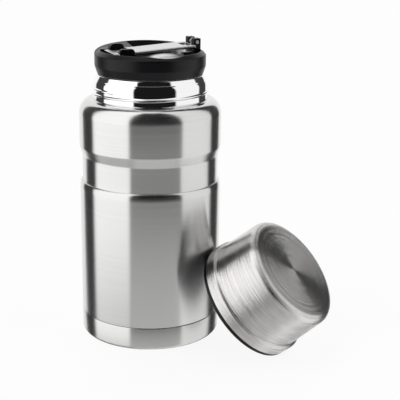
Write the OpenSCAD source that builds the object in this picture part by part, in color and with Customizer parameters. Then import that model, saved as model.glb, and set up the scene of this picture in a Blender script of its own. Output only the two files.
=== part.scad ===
// Insulated food jar: double-walled steel body, screw-in stopper that holds a folding spoon,
// and a steel cup lid that stands beside the jar and leans on it.
// Millimetres, +Z up. The origin is the centre of the jar's base, on the surface it stands on.

/* [Jar body] */
// Radius of the body at its lower part and at its upper band
body_r = 50; // [49:0.5:54]
// Thickness of the pressed steel walls
wall = 1; // [0.7:0.1:1.2]
// Height of the base cup, up to its seam
base_h = 16.5; // [12:0.5:20]
// Radius of the rounding at the foot of the base cup
foot_round = 2.6; // [1.5:0.1:3.5]
// Width of the flat ring that the jar stands on
foot_w = 6; // [4:0.5:9]
// How far the middle of the base is raised off the surface
foot_rise = 1.2; // [0.8:0.1:1.5]
// Height of the lower body's straight wall above the base cup
lower_h = 91.2; // [70:0.5:110]
// Height of the rounding at the top of the lower body
lower_round_h = 5.8; // [4:0.1:8]
// How far the waist lies inside the body
waist_depth = 1.9; // [1:0.1:2.8]
// Height of the waist
waist_h = 18; // [12:0.5:24]
// Height of the flare from the waist to the upper band
flare_h = 6.5; // [4:0.5:9]
// Height of the upper band
band_h = 24.3; // [18:0.1:28]
// Height of the rounded shoulder above the band
shoulder_h = 8.5; // [7:0.1:10]
// Width of the flat ring round the neck's foot
shoulder_flat = 1.4; // [0.8:0.1:3]

/* [Inner vessel] */
// Width of the vacuum gap between the two walls at the waist
vacuum_gap = 2.1; // [1.5:0.1:3]
// Height of the rounded floor corner of the vessel
vessel_round = 10; // [7:0.5:13]
// Room between the shell's end pan and the vessel's floor
floor_gap = 5.2; // [4.5:0.1:7]
// Height of the vessel's curved shoulder under its mouth
vessel_shoulder_h = 12; // [9:0.5:15]
// Length of the straight mouth above the vessel's curved shoulder
mouth_h = 29.2; // [26:0.1:31]
// Thickness of the heat-reflecting foil
foil_t = 0.25; // [0.2:0.05:0.4]
// Radius of the getter pellet
getter_r = 6; // [4:0.5:8]
// Thickness of the getter pellet
getter_t = 3; // [2:0.1:3.5]
// Distance of the getter from the jar's axis
getter_at = 20; // [15:1:30]
// Radius of the bead that seals the vacuum
seal_bead_r = 4; // [3:0.1:5]

/* [Neck] */
// Radius of the neck at its foot
neck_r = 40; // [36:0.1:41]
// How much narrower the neck is at its lip than at its foot
neck_taper = 2.5; // [2:0.1:3]
// Height of the neck above the shoulder
neck_h = 17.4; // [16:0.1:19]
// Height of the creased line below the lip
crease_drop = 3.8; // [3:0.1:5]
// How far the thread for the cup stands out
cup_thread_d = 1.1; // [0.8:0.05:1.3]
// Distance from one turn of the cup's thread to the next
cup_pitch = 3.6; // [3.2:0.1:4]

/* [Stopper] */
// How far the stopper's wall stands out past the neck's lip
stopper_over = 1.2; // [0.8:0.1:1.6]
// Height of the stopper's head at its raised back
stopper_h = 17.9; // [17:0.1:19]
// How much lower the rim is in front than at the raised back
rim_drop = 2.4; // [1.5:0.1:3]
// Width of the slanting edge of the lower rim
edge_w = 3.3; // [2:0.1:3.6]
// Height of the slanting edge of the lower rim
edge_h = 2.7; // [2:0.1:3.5]
// Slope of the top up to the raised back, in degrees
back_slope = 7.3; // [5:0.1:10]
// How far behind the jar's axis the top starts to rise
back_from = 18; // [12:1:24]
// How far round the raised back is turned from straight behind, in degrees
back_turn = 10; // [0:1:30]
// Height of the slanting part of the stopper's skirt
skirt_h = 5.3; // [4:0.1:7]
// How far the foot of the skirt is drawn in
skirt_in = 1.7; // [1.2:0.1:2]
// Radius of the rounding at the stopper's top edge
top_round = 4.4; // [3:0.1:5]
// Thickness of the rim round the recess, at its thinnest
rim_w = 3.9; // [3.5:0.1:4.5]
// Depth of the recess that the spoon lies in
recess_d = 10.4; // [9.6:0.1:10.8]
// Depth of the finger dip in the rim
dip_d = 1.2; // [0.8:0.1:2]
// Half of the finger dip's width
dip_half = 12; // [9:0.5:14]
// Thickness of the seal ring
seal_t = 2.2; // [1.6:0.1:3]
// Width of the seal ring's cross-section
seal_w = 2.5; // [2:0.1:2.7]
// Length of the plug below the stopper's head
plug_h = 34; // [30:0.5:36]
// Wall thickness of the plug
plug_wall = 1.6; // [1.2:0.1:2.4]
// Rise of the stopper in one turn
stopper_lead = 14; // [12:0.5:16]

/* [Spoon] */
// Direction of the folded spoon, seen from above
spoon_angle = 20; // [0:1:40]
// Width of the handle
handle_w = 24; // [20:0.5:24.5]
// Thickness of the spoon's steel
spoon_t = 0.9; // [0.7:0.05:1]
// Depth of the handle's turned-down edges
handle_lip = 2; // [1.5:0.1:2.2]
// How far the handle slopes down towards its end, in degrees
handle_droop = 3.7; // [3:0.1:4]
// Width of the handle's neck between the lugs
handle_neck_w = 9; // [7:0.5:11]
// Length of the cross bar at the handle's end
handle_bar = 4.1; // [3:0.1:5]
// Length of the window in the handle
window_l = 5.5; // [4.5:0.1:7]
// Width of the window in the handle
window_w = 10; // [6:0.5:13]
// Space between the lugs and the spoon's bowl
bowl_gap = 1.2; // [1:0.1:3]
// How much narrower the spoon's bowl is than long
bowl_slim = 1; // [0:0.5:5]
// Depth of the spoon's bowl
bowl_d = 8.1; // [7:0.1:8.3]
// Radius of the hinge pin
pin_r = 1.2; // [1:0.05:1.3]
// Radius of the hinge block's rounded top
knuckle_r = 2.5; // [2.3:0.1:2.7]
// Width of the hinge block
block_w = 16; // [14:0.5:18]
// Width of the handle's curl in the hinge block
curl_w = 5; // [4:0.5:8]
// Length of the lugs that hold the handle's neck
lug_l = 10.5; // [8:0.5:11]
// Thickness of the lugs
lug_t = 3.5; // [2.5:0.1:5]
// Height of the back lug above the handle
back_lug_h = 3.5; // [2.5:0.1:5]
// Height of the front lug above the handle
front_lug_h = 2.3; // [1.5:0.1:4]

/* [Cup lid] */
// Steel thickness of the cup's outer wall
cup_wall = 0.7; // [0.5:0.05:0.8]
// Steel thickness of the cup's liner
liner_wall = 0.6; // [0.5:0.05:0.8]
// Thickness of the threaded ring's sleeve
ring_wall = 1; // [0.8:0.05:1.4]
// Height of the black ring that shows at the rim
ring_h = 3; // [2:0.1:4]
// Height of the cup's flange above the rim
flange_h = 10.4; // [9.5:0.1:12]
// Space between the stopper and the cup's liner
cup_play = 1.2; // [0.9:0.1:1.6]
// How much narrower the cup's wall is at its closed end
cup_draft = 1.25; // [0.5:0.05:2]
// Radial size of the rounding at the closed end
cup_round_w = 5.6; // [3.5:0.1:8]
// Height of the rounding at the closed end
cup_round_h = 5.2; // [3.5:0.1:7]
// Free height above the spoon when the cup is screwed on
head_room = 2; // [1.5:0.1:5]
// Slope of the leaning cup's axis, in degrees above the surface
cup_lean = 41.1; // [35:0.5:50]
// Bearing of the leaning cup from the jar, in degrees
cup_bearing = -28.8; // [-60:1:30]

/* [Clearances] */
// Gap round a pressed or welded seat
seat_gap = 0.1; // [0.05:0.01:0.15]
// Radial running clearance of the hinge pin
pin_fit = 0.04; // [0.02:0.01:0.08]
// Gap between parts that lift or turn past each other
free_gap = 0.3; // [0.25:0.05:0.4]
// Height of the seam above the base cup
seam_gap = 0.2; // [0.1:0.05:0.4]
// Radial clearance over a thread's crest
thread_gap = 0.4; // [0.3:0.05:0.45]

/* [Hidden] */
$fn = 96;
tiny = 0.01;
steel = [0.78, 0.78, 0.77];
polished = [0.86, 0.86, 0.87];
black = [0.07, 0.07, 0.08];

// Heights of the jar, from its base upwards
lower_top = base_h + lower_h;
waist_from = lower_top + lower_round_h;
waist_to = waist_from + waist_h;
band_from = waist_to + flare_h;
band_to = band_from + band_h;
neck_from = band_to + shoulder_h;
lip_z = neck_from + neck_h;
crease_z = lip_z - crease_drop;
waist_r = body_r - waist_depth;
neck_hole_r = neck_r + seat_gap;
shoulder_w = body_r - neck_hole_r - shoulder_flat;
lip_r = neck_r - neck_taper;
collar_in = 4;
neck_swell = 1.1;
swell_from = 20;
swell_to = 68;
swell_h = crease_z - neck_from - cup_pitch;
crease_d = 0.1;
crease_w = 0.9;
lip_round_w = 0.8;
lip_round_h = 1.6;
foot_bend = wall / 2;

// Rolled thread for the cup, on the neck and in the cup's ring
neck_thread_turns = 1.5;
neck_thread_rise = 3;
neck_thread_from = -300;
neck_ridge_root_w = 2.2;
neck_ridge_crest_w = 0.9;
ring_thread_turns = 1.1;
ring_thread_z = 2.6;
ring_ridge_root_w = 1.8;
ring_ridge_crest_w = 0.8;

// Inner vessel: its outside clears the waist by the vacuum gap
vessel_r = waist_r - wall - vacuum_gap - wall;
mouth_gap = 0.5;
mouth_r = lip_r - wall - mouth_gap - wall;
pan_t = 0.8;
pan_z = 5;
pan_corner = 6;
pan_over_seam = 8;
pan_top = base_h + pan_over_seam;
floor_z = pan_z + pan_t + floor_gap + wall;
vessel_top = lip_z - wall;
mouth_from = vessel_top - mouth_h;
vessel_side_to = mouth_from - vessel_shoulder_h;
vessel_side_from = floor_z + vessel_round;

// Getter and vacuum seal
cage_t = 0.4;
cage_lip = 1.2;
bead_t = 1.4;
stem_r = 1.4;

// Stopper and its seal
stopper_r = lip_r + stopper_over;
seal_top = lip_z + seal_t;
skirt_gap = 0.5;
skirt_z = lip_z + skirt_gap;
stopper_top = skirt_z + stopper_h;
rim_z = stopper_top - rim_drop;
plug_crest_r = mouth_r - thread_gap;
thread_engage = 1;
mouth_crest_r = plug_crest_r - thread_engage;
plug_play = 0.2;
plug_r = mouth_crest_r - thread_gap - plug_play;
seal_in_r = plug_r + free_gap;
seal_out_r = seal_in_r + seal_w;
skirt_in_r = seal_out_r + free_gap;
recess_r = stopper_r - rim_w;
recess_z = stopper_top - recess_d;
deck_t = 2;
deck_z = recess_z - deck_t;
plug_z = seal_top - plug_h;
plug_corner = 3;
foam_corner = 2;
starts = 2;
ridge_root_w = 2.4;
ridge_crest_w = 1.4;
mouth_thread_turns = 0.9;
mouth_thread_rise = 5;
mouth_thread_z = mouth_from + mouth_thread_rise;
plug_thread_turns = 0.8;
// A male ridge runs just below a female one, its flank free_gap away
plug_thread_z = mouth_thread_z - (ridge_root_w + ridge_crest_w) / 2 - free_gap;
thread_steps = 36;
thread_fade = 0.06;
root_sink = 0.3;

// Spoon, in its own directions: u along the handle, v across it
spoon_z = recess_z + free_gap;
pin_over_bowl = 4.6;
pin_z = spoon_z + bowl_d + pin_over_bowl;
block_u = recess_r - free_gap;
pin_u = block_u - knuckle_r;
curl_r = pin_r + pin_fit + spoon_t;
block_front_u = pin_u - knuckle_r;
bowl_to_block = 3.7;
bowl_end_u = block_front_u - bowl_to_block;
bowl_power = 2.4;
bowl_rings = 12;
bowl_sides = 48;
tang_margin = 2;
tang_w = block_w - 2 * tang_margin;
tang_share = 0.64;
tang_z = spoon_z + tang_share * bowl_d;
tang_over = 5;
tang_in = 3.5;
tang_to = block_front_u + tang_in;
tip_gap = 2.3;
tip_u = -(sqrt(pow(recess_r, 2) - pow(handle_w / 2, 2)) - tip_gap);
notch_gap = 0.35;
lug_u = tip_u + handle_bar + notch_gap;
notch_to = lug_u + lug_l + notch_gap;
bowl_l = bowl_end_u - (lug_u + lug_l + bowl_gap);
bowl_w = bowl_l - bowl_slim;
bowl_mid_u = bowl_end_u - bowl_l / 2;
lug_out = handle_w / 2;
back_lug_in = 2;
lug_round = 2;
back_lug_round = 3.5;
handle_end_gap = 0.4;
window_edge = 1.3;
shelf_gap = 0.6;
handle_end = pin_u - knuckle_r - handle_end_gap;
window_to = handle_end - window_edge;
shelf_v = handle_w / 2 + shelf_gap;
shelf_u = -6;
dip_r = (pow(dip_half, 2) + pow(dip_d, 2)) / (2 * dip_d);

// Height of the handle's upper face at a place u along the spoon
function handle_z(u) = pin_z - (pin_r + pin_fit) - (pin_u - u) * tan(handle_droop);

// Cup lid, in its own directions: z from its rim to its closed end
ring_in_r = neck_r + cup_thread_d + thread_gap;
flange_r = ring_in_r + ring_wall + seat_gap + cup_wall;
rim_inset = 0.2;
rim_r = flange_r - rim_inset;
rim_round = 0.8;
step_round = 0.6;
step_rise = 0.2;
seat_inset = 1;
side_r = stopper_r + cup_play + liner_wall + seat_gap * 2 + cup_wall;
seat_share = max(0, rim_r - seat_inset - body_r + shoulder_w) / shoulder_w;
cup_seat_z = band_to + shoulder_h * sqrt(1 - pow(seat_share, 2));
end_gap = 0.8;
cup_h = pin_z + knuckle_r - cup_seat_z + head_room + liner_wall + end_gap + cup_wall;
lean_gap = 0.3;
// Where the cup's rim centre lies so that its rounded rim meets the surface and the jar
cup_out = body_r + lean_gap + rim_round + (rim_r - rim_round) * sin(cup_lean)
    - rim_round * cos(cup_lean);
cup_up = rim_round + (rim_r - rim_round) * cos(cup_lean) - rim_round * sin(cup_lean);

// Points of an ellipse's arc round a centre, from one angle to another
function arc(centre, rx, ry, from, to, n = 12) =
    [for (i = [0:n]) let (a = from + (to - from) * i / n) centre + [rx * cos(a), ry * sin(a)]];

function reversed(list) = [for (i = [len(list) - 1:-1:0]) list[i]];

// A helical ridge with tapered ends, standing out from a wall or into a bore
module thread_ridge(root_r, crest_r, lead, turns, first_z, first_angle, root_w, crest_w) {
    steps = ceil(turns * thread_steps);
    outward = crest_r > root_r ? 1 : -1;
    function rise(i) = min(1, max(0.15, min(i, steps - i) / (thread_fade * turns * thread_steps + 1)));
    function ring(i) =
        let (a = first_angle + 360 * turns * i / steps,
            z = first_z + lead * turns * i / steps,
            top = root_r + (crest_r - root_r) * rise(i),
            low = root_r - outward * root_sink)
        [for (p = [[low, -root_w / 2], [top, -crest_w / 2], [top, crest_w / 2], [low, root_w / 2]])
            [p[0] * cos(a), p[0] * sin(a), z + p[1]]];
    points = [for (i = [0:steps]) each ring(i)];
    sides = [for (i = [0:steps - 1], k = [0:3])
        let (a = 4 * i + k, b = 4 * i + (k + 1) % 4)
        each [[a, b, b + 4], [a, b + 4, a + 4]]];
    last = 4 * steps;
    ends = [[0, 2, 1], [0, 3, 2], [last, last + 1, last + 2], [last, last + 2, last + 3]];
    faces = concat(sides, ends);
    turned = outward < 0 ? [for (f = faces) reversed(f)] : faces;
    polyhedron(points, turned);
}

// ---- Jar ----

// Outline of the shell at a depth t inside its outer face, from its seam to the neck
function shell_line(t) = concat(
    [[body_r - t, base_h + seam_gap]],
    arc([waist_r - t, lower_top], waist_depth, lower_round_h, 0, 90, 8),
    [[waist_r - t, waist_to], [body_r - t, band_from]],
    arc([body_r - shoulder_w, band_to], shoulder_w - t, shoulder_h - t, 0, 90, 16),
    [[neck_hole_r, neck_from - t]]);

module outer_shell() {
    color(steel) rotate_extrude() polygon(concat(shell_line(0), reversed(shell_line(wall))));
}

// Deep pan that closes the vacuum space at the bottom
module shell_pan() {
    r = body_r - wall - seat_gap;
    corner = pan_corner;
    color(steel) difference() {
        rotate_extrude() polygon(concat(
            [[0, pan_z]],
            arc([r - corner, pan_z + corner], corner, corner, -90, 0, 6),
            [[r, pan_top], [r - pan_t, pan_top]],
            arc([r - corner, pan_z + corner], corner - pan_t, corner - pan_t, 0, -90, 6),
            [[0, pan_z + pan_t]]));
        translate([0, 0, pan_z - 1]) cylinder(r = stem_r + seat_gap, h = pan_t + 2);
    }
}

// Cup under the seam, with a flat ring to stand on
module base_cup() {
    inner = body_r - wall;
    color(steel) rotate_extrude() polygon(concat(
        [[0, foot_rise], [body_r - foot_round - foot_w - foot_rise, foot_rise]],
        [[body_r - foot_round - foot_w, 0]],
        arc([body_r - foot_round, foot_round], foot_round, foot_round, -90, 0, 8),
        [[body_r, base_h], [inner, base_h]],
        arc([body_r - foot_round, foot_round], foot_round - wall, foot_round - wall, 0, -90, 6),
        [[body_r - foot_round - foot_w + foot_bend, wall]],
        [[body_r - foot_round - foot_w - foot_rise + foot_bend, foot_rise + wall]],
        [[0, foot_rise + wall]]));
}

module inner_vessel() {
    span = vessel_r - mouth_r;
    color(polished) {
        rotate_extrude() polygon(concat(
            [[vessel_r, vessel_side_from]],
            [[vessel_r + wall, vessel_side_from]],
            arc([mouth_r + wall, vessel_side_to], span, vessel_shoulder_h + wall, 0, 90),
            [[mouth_r + wall, vessel_top], [mouth_r, vessel_top]],
            arc([mouth_r, vessel_side_to], span, vessel_shoulder_h, 90, 0)));
        for (i = [0:starts - 1])
            thread_ridge(mouth_r, mouth_crest_r, stopper_lead, mouth_thread_turns, mouth_thread_z,
                i * 360 / starts, ridge_root_w, ridge_crest_w);
    }
}

// Pressed floor of the inner vessel, welded to its wall
module vessel_floor() {
    c = vessel_r - vessel_round;
    color(polished) rotate_extrude() polygon(concat(
        [[0, floor_z - wall]],
        arc([c, vessel_side_from], vessel_round + wall, vessel_round + wall, -90, 0),
        arc([c, vessel_side_from], vessel_round, vessel_round, 0, -90),
        [[0, floor_z]]));
}

// Foil wrapped round the vessel's straight wall
module heat_foil() {
    r = vessel_r + wall + seat_gap;
    color("goldenrod") translate([0, 0, vessel_side_from]) difference() {
        cylinder(r = r + foil_t, h = vessel_side_to - vessel_side_from);
        translate([0, 0, -1]) cylinder(r = r, h = vessel_side_to - vessel_side_from + 2);
    }
}

module at_getter() {
    translate([getter_at, 0, pan_z + pan_t]) children();
}

module getter() {
    color("dimgray") at_getter() translate([0, 0, cage_t]) cylinder(r = getter_r, h = getter_t);
}

// Shallow tin, welded to the pan, that holds the getter
module getter_cage() {
    r = getter_r + seat_gap;
    color("lightgray") at_getter() difference() {
        cylinder(r = r + cage_t, h = cage_t + cage_lip);
        translate([0, 0, cage_t]) cylinder(r = r, h = cage_lip + 1);
    }
}

// Bead under the pan, with a stem in the pan's hole
module vacuum_seal() {
    color("darkgray") rotate_extrude() polygon(concat(
        [[0, pan_z - bead_t]],
        arc([seal_bead_r - bead_t, pan_z], bead_t, bead_t, -90, 0, 6),
        [[stem_r, pan_z], [stem_r, pan_z + pan_t], [0, pan_z + pan_t]]));
}

// Outline of the neck's wall, t inside its outer face, from its foot to the crease
function neck_line(t) = concat(
    [[neck_r - t, neck_from - collar_in], [neck_r - t, neck_from + cup_pitch]],
    arc([neck_r - t - neck_swell, neck_from + cup_pitch], neck_swell, swell_h, swell_from, swell_to, 6),
    [[neck_r - t - neck_swell - crease_d, crease_z], [neck_r - t - neck_swell, crease_z + crease_w]]);

// Polished neck that joins the shell to the vessel's mouth and carries the cup's thread
module neck_collar() {
    color(polished) {
        rotate_extrude() polygon(concat(
            neck_line(0),
            arc([lip_r - lip_round_w, lip_z - lip_round_h], lip_round_w, lip_round_h, swell_from, 90, 6),
            [[mouth_r, lip_z], [mouth_r, vessel_top], [lip_r - wall, vessel_top]],
            reversed(neck_line(wall))));
        thread_ridge(neck_r, neck_r + cup_thread_d, cup_pitch, neck_thread_turns,
            neck_from + neck_thread_rise, neck_thread_from, neck_ridge_root_w, neck_ridge_crest_w);
    }
}

// ---- Stopper ----

module seal_ring() {
    color("gainsboro") translate([0, 0, lip_z]) difference() {
        cylinder(r = seal_out_r, h = seal_t);
        translate([0, 0, -1]) cylinder(r = seal_in_r, h = seal_t + 2);
    }
}

module along_spoon() {
    rotate([0, 0, spoon_angle]) children();
}

// Upright lug with a rounded top, beside the handle's neck
module lug(from_v, width, top, corner) {
    centre_z = top - corner;
    translate([lug_u, from_v, recess_z - tiny]) cube([lug_l, width, centre_z - recess_z]);
    for (u = [lug_u + corner, lug_u + lug_l - corner])
        translate([u, from_v, centre_z]) rotate([-90, 0, 0])
            cylinder(r = corner, h = width);
    translate([lug_u + corner, from_v, centre_z - 1])
        cube([lug_l - 2 * corner, width, corner + 1]);
}

// Space in the stopper's top for the spoon: a round recess with a shelf left at the back
module spoon_recess() {
    depth = recess_d + 1;
    translate([0, 0, recess_z]) difference() {
        cylinder(r = recess_r, h = depth);
        along_spoon() difference() {
            translate([-stopper_r, shelf_v, -1]) cube([stopper_r + shelf_u, stopper_r, depth + 2]);
            translate([bowl_mid_u, 0, -2]) cylinder(r = bowl_l / 2 + 1, h = depth + 4);
        }
    }
    // Pocket for the hinge block
    along_spoon() translate([0, -block_w / 2 - free_gap, recess_z])
        cube([block_u + free_gap, block_w + 2 * free_gap, depth]);
    // Finger dip in the front of the rim
    along_spoon() translate([0, -stopper_r - 1, rim_z - dip_d + dip_r]) rotate([-90, 0, 0])
        cylinder(r = dip_r, h = stopper_r - recess_r + 6);
}

// Outline of the head's underside, from the axis to the top of the slanting skirt
function head_under() = [
    [0, deck_z], [plug_r + seat_gap, deck_z], [plug_r + seat_gap, seal_top],
    [skirt_in_r, seal_top], [skirt_in_r, skirt_z], [stopper_r - skirt_in, skirt_z],
    [stopper_r, skirt_z + skirt_h]];

// Solid head: a low rim with a slanting edge, and behind it a raised back under a sloping plane
module head() {
    rotate_extrude() polygon(concat(head_under(),
        [[stopper_r, rim_z - edge_h], [stopper_r - edge_w, rim_z], [0, rim_z]]));
    intersection() {
        rotate_extrude() polygon(concat(head_under(),
            arc([stopper_r - top_round, stopper_top - top_round], top_round, top_round, 0, 90),
            [[0, stopper_top]]));
        rotate([0, 0, back_turn]) translate([0, back_from, rim_z]) rotate([back_slope, 0, 0])
            translate([-2 * stopper_r, -4 * stopper_r, -stopper_r])
                cube([4 * stopper_r, 8 * stopper_r, stopper_r]);
    }
}

module stopper_cap() {
    lug_mid_u = lug_u + lug_l / 2;
    color(black) {
        difference() {
            head();
            spoon_recess();
        }
        along_spoon() {
            lug(lug_out - back_lug_in, back_lug_in + lug_t, handle_z(lug_mid_u) + back_lug_h,
                back_lug_round);
            lug(-lug_out, lug_t, handle_z(lug_mid_u) + front_lug_h, lug_round);
        }
    }
}

// Hollow plug with the thread that screws into the jar's mouth
module stopper_plug() {
    corner = plug_corner;
    color(black) {
        rotate_extrude() polygon(concat(
            [[0, plug_z]],
            arc([plug_r - corner, plug_z + corner], corner, corner, -90, 0, 6),
            [[plug_r, deck_z], [plug_r - plug_wall, deck_z]],
            arc([plug_r - corner, plug_z + corner], corner - plug_wall, corner - plug_wall, 0, -90, 6),
            [[0, plug_z + plug_wall]]));
        for (i = [0:starts - 1])
            thread_ridge(plug_r, plug_crest_r, stopper_lead, plug_thread_turns, plug_thread_z,
                i * 360 / starts, ridge_root_w, ridge_crest_w);
    }
}

// Foam that fills the plug
module stopper_foam() {
    low = plug_z + plug_wall + seat_gap;
    corner = foam_corner;
    r = plug_r - plug_wall - seat_gap;
    color("wheat") rotate_extrude() polygon(
        [[0, low], [r - corner, low], [r, low + corner], [r, deck_z - seat_gap], [0, deck_z - seat_gap]]);
}

// ---- Folding spoon ----

// Height of the bowl's dome at a share q of its half width, for a dome of height h
function dome(q, h) = h * pow(1 - pow(q, bowl_power), 1 / bowl_power);

// One face of the bowl: rings of points from the rim to the crown
function bowl_face(shrink, h) = [for (i = [0:bowl_rings - 1])
    let (q = cos(90 * i / bowl_rings))
    each [for (k = [0:bowl_sides - 1])
        let (a = 360 * k / bowl_sides)
        [(bowl_l / 2 - shrink) * q * cos(a), (bowl_w / 2 - shrink) * q * sin(a), dome(q, h)]]];

module bowl_shell() {
    outer = bowl_face(0, bowl_d);
    inner = bowl_face(spoon_t, bowl_d - spoon_t);
    m = bowl_rings * bowl_sides;
    crown = 2 * m;
    points = concat(outer, inner, [[0, 0, bowl_d], [0, 0, bowl_d - spoon_t]]);
    function next(k) = (k + 1) % bowl_sides;
    skin = [for (i = [0:bowl_rings - 2], k = [0:bowl_sides - 1])
        let (a = i * bowl_sides + k, b = i * bowl_sides + next(k), s = bowl_sides)
        each [[a, b + s, b], [a, a + s, b + s], [m + a, m + b, m + b + s], [m + a, m + b + s, m + a + s]]];
    last = (bowl_rings - 1) * bowl_sides;
    caps = [for (k = [0:bowl_sides - 1])
        each [[last + k, crown, last + next(k)], [m + last + k, m + last + next(k), crown + 1]]];
    rim = [for (k = [0:bowl_sides - 1]) each [[k, next(k), m + next(k)], [k, m + next(k), m + k]]];
    polyhedron(points, concat(skin, caps, rim));
}

// The bowl lies with its hollow down, and a flat tang runs into the hinge block
module spoon_bowl() {
    color(polished) along_spoon() {
        translate([bowl_mid_u, 0, spoon_z]) bowl_shell();
        translate([bowl_end_u - tang_over, -tang_w / 2, tang_z])
            cube([tang_to - bowl_end_u + tang_over, tang_w, spoon_t]);
    }
}

module across_pin(r, w) {
    translate([pin_u, -w / 2, pin_z]) rotate([-90, 0, 0]) cylinder(r = r, h = w);
}

module hinge_block() {
    slot_w = curl_w + 2 * free_gap;
    slot_z = pin_z - sqrt(pow(pin_u - handle_end, 2) + pow(curl_r, 2)) - free_gap;
    color(black) along_spoon() difference() {
        union() {
            translate([block_front_u, -block_w / 2, spoon_z])
                cube([block_u - block_front_u, block_w, pin_z - spoon_z]);
            across_pin(knuckle_r, block_w);
        }
        translate([block_front_u - 1, -slot_w / 2, slot_z])
            cube([2 * knuckle_r + 2, slot_w, 2 * pin_z]);
        across_pin(pin_r, block_w + 2);
        translate([block_front_u - 1, -tang_w / 2 - seat_gap, tang_z - seat_gap])
            cube([tang_to - block_front_u + 1 + seat_gap, tang_w + 2 * seat_gap,
                spoon_t + 2 * seat_gap]);
    }
}

module hinge_pin() {
    color("gainsboro") along_spoon() across_pin(pin_r - 0.01, block_w);
}

// Places the handle's flat strip: x runs from the pin, 0, towards the free end, negative
module on_handle() {
    along_spoon() translate([pin_u, 0, pin_z]) rotate([0, -handle_droop, 0]) children();
}

module spoon_handle() {
    top = -(pin_r + pin_fit);
    low = top - spoon_t;
    reach = pin_u - tip_u;
    color(steel) on_handle() difference() {
        union() {
            // Strip, turned-down edges and the curl round the pin
            translate([-reach, -handle_w / 2, low])
                cube([reach - (pin_u - handle_end), handle_w, spoon_t]);
            for (v = [-handle_w / 2, handle_w / 2 - spoon_t])
                translate([-reach, v, top - handle_lip])
                    cube([reach - (pin_u - window_to), spoon_t, handle_lip - tiny]);
            translate([-(pin_u - window_to), -curl_w / 2, low])
                cube([pin_u - window_to, curl_w, spoon_t]);
            translate([0, -curl_w / 2, 0]) rotate([-90, 0, 0]) cylinder(r = curl_r, h = curl_w);
        }
        translate([0, -curl_w, 0]) rotate([-90, 0, 0]) cylinder(r = pin_r + pin_fit, h = 2 * curl_w);
        // Notches for the lugs
        for (side = [-1, 1])
            translate([lug_u - pin_u - notch_gap, (side * (handle_neck_w + handle_w) - handle_w) / 2, -10])
                cube([notch_to - lug_u + notch_gap, handle_w, 20]);
        // Window beside the hinge
        translate([-(pin_u - window_to) - window_l, -window_w / 2, -10])
            cube([window_l, window_w, 20]);
    }
}

// ---- Cup lid ----

// Outline of the cup's wall, t inside its outer face, from a height to the closed end
function cup_line(t, from_z) =
    let (round_z = cup_h - cup_round_h, end_r = side_r - cup_draft)
    concat(
        [[side_r - t, from_z], [end_r - t, round_z]],
        arc([end_r - cup_round_w, round_z], cup_round_w - t, cup_round_h - t, 0, 90),
        [[0, cup_h - t]]);

module leaning_cup() {
    rotate([0, 0, cup_bearing]) translate([cup_out, 0, cup_up]) rotate([0, 90 - cup_lean, 0])
        children();
}

module cup_shell() {
    color(steel) leaning_cup() rotate_extrude() polygon(concat(
        [[flange_r - cup_wall, ring_h], [flange_r, ring_h], [flange_r, flange_h - step_round]],
        [[flange_r - step_round, flange_h]],
        cup_line(0, flange_h + step_rise),
        reversed(cup_line(cup_wall, flange_h - cup_wall)),
        [[flange_r - cup_wall, flange_h - cup_wall]]));
}

// The liner's flange lies under the step of the shell, and its end stays end_gap clear
module cup_liner() {
    outer = cup_wall + 2 * seat_gap;
    foot = flange_h - cup_wall - seat_gap;
    function lowered(line) = [for (p = line) [p[0], p[1] - (p[1] > foot + 1 ? end_gap - 2 * seat_gap : 0)]];
    color(black) leaning_cup() rotate_extrude() polygon(concat(
        [[side_r - outer - liner_wall, foot - liner_wall]],
        [[flange_r - cup_wall - seat_gap, foot - liner_wall], [flange_r - cup_wall - seat_gap, foot]],
        [[side_r - outer, foot]],
        lowered(cup_line(outer, foot + tiny)),
        reversed(lowered(cup_line(outer + liner_wall, foot)))));
}

// Black ring in the cup's rim, with the thread that grips the neck
module cup_thread_ring() {
    sleeve_r = ring_in_r + ring_wall;
    sleeve_to = flange_h - cup_wall - 2 * seat_gap - liner_wall;
    color(black) leaning_cup() {
        rotate_extrude() polygon(concat(
            [[ring_in_r, rim_round], [ring_in_r + rim_round / 2, 0]],
            arc([rim_r - rim_round, rim_round], rim_round, rim_round, -90, 0, 6),
            [[rim_r, ring_h], [sleeve_r, ring_h], [sleeve_r, sleeve_to], [ring_in_r, sleeve_to]]));
        thread_ridge(ring_in_r, ring_in_r - cup_thread_d, cup_pitch, ring_thread_turns,
            ring_thread_z, 0, ring_ridge_root_w, ring_ridge_crest_w);
    }
}

outer_shell();
shell_pan();
base_cup();
inner_vessel();
vessel_floor();
heat_foil();
getter();
getter_cage();
vacuum_seal();
neck_collar();
seal_ring();
stopper_cap();
stopper_plug();
stopper_foam();
spoon_bowl();
hinge_block();
hinge_pin();
spoon_handle();
cup_shell();
cup_liner();
cup_thread_ring();
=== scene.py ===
import math

import bmesh
import bpy
from mathutils import Matrix, Vector


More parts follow.
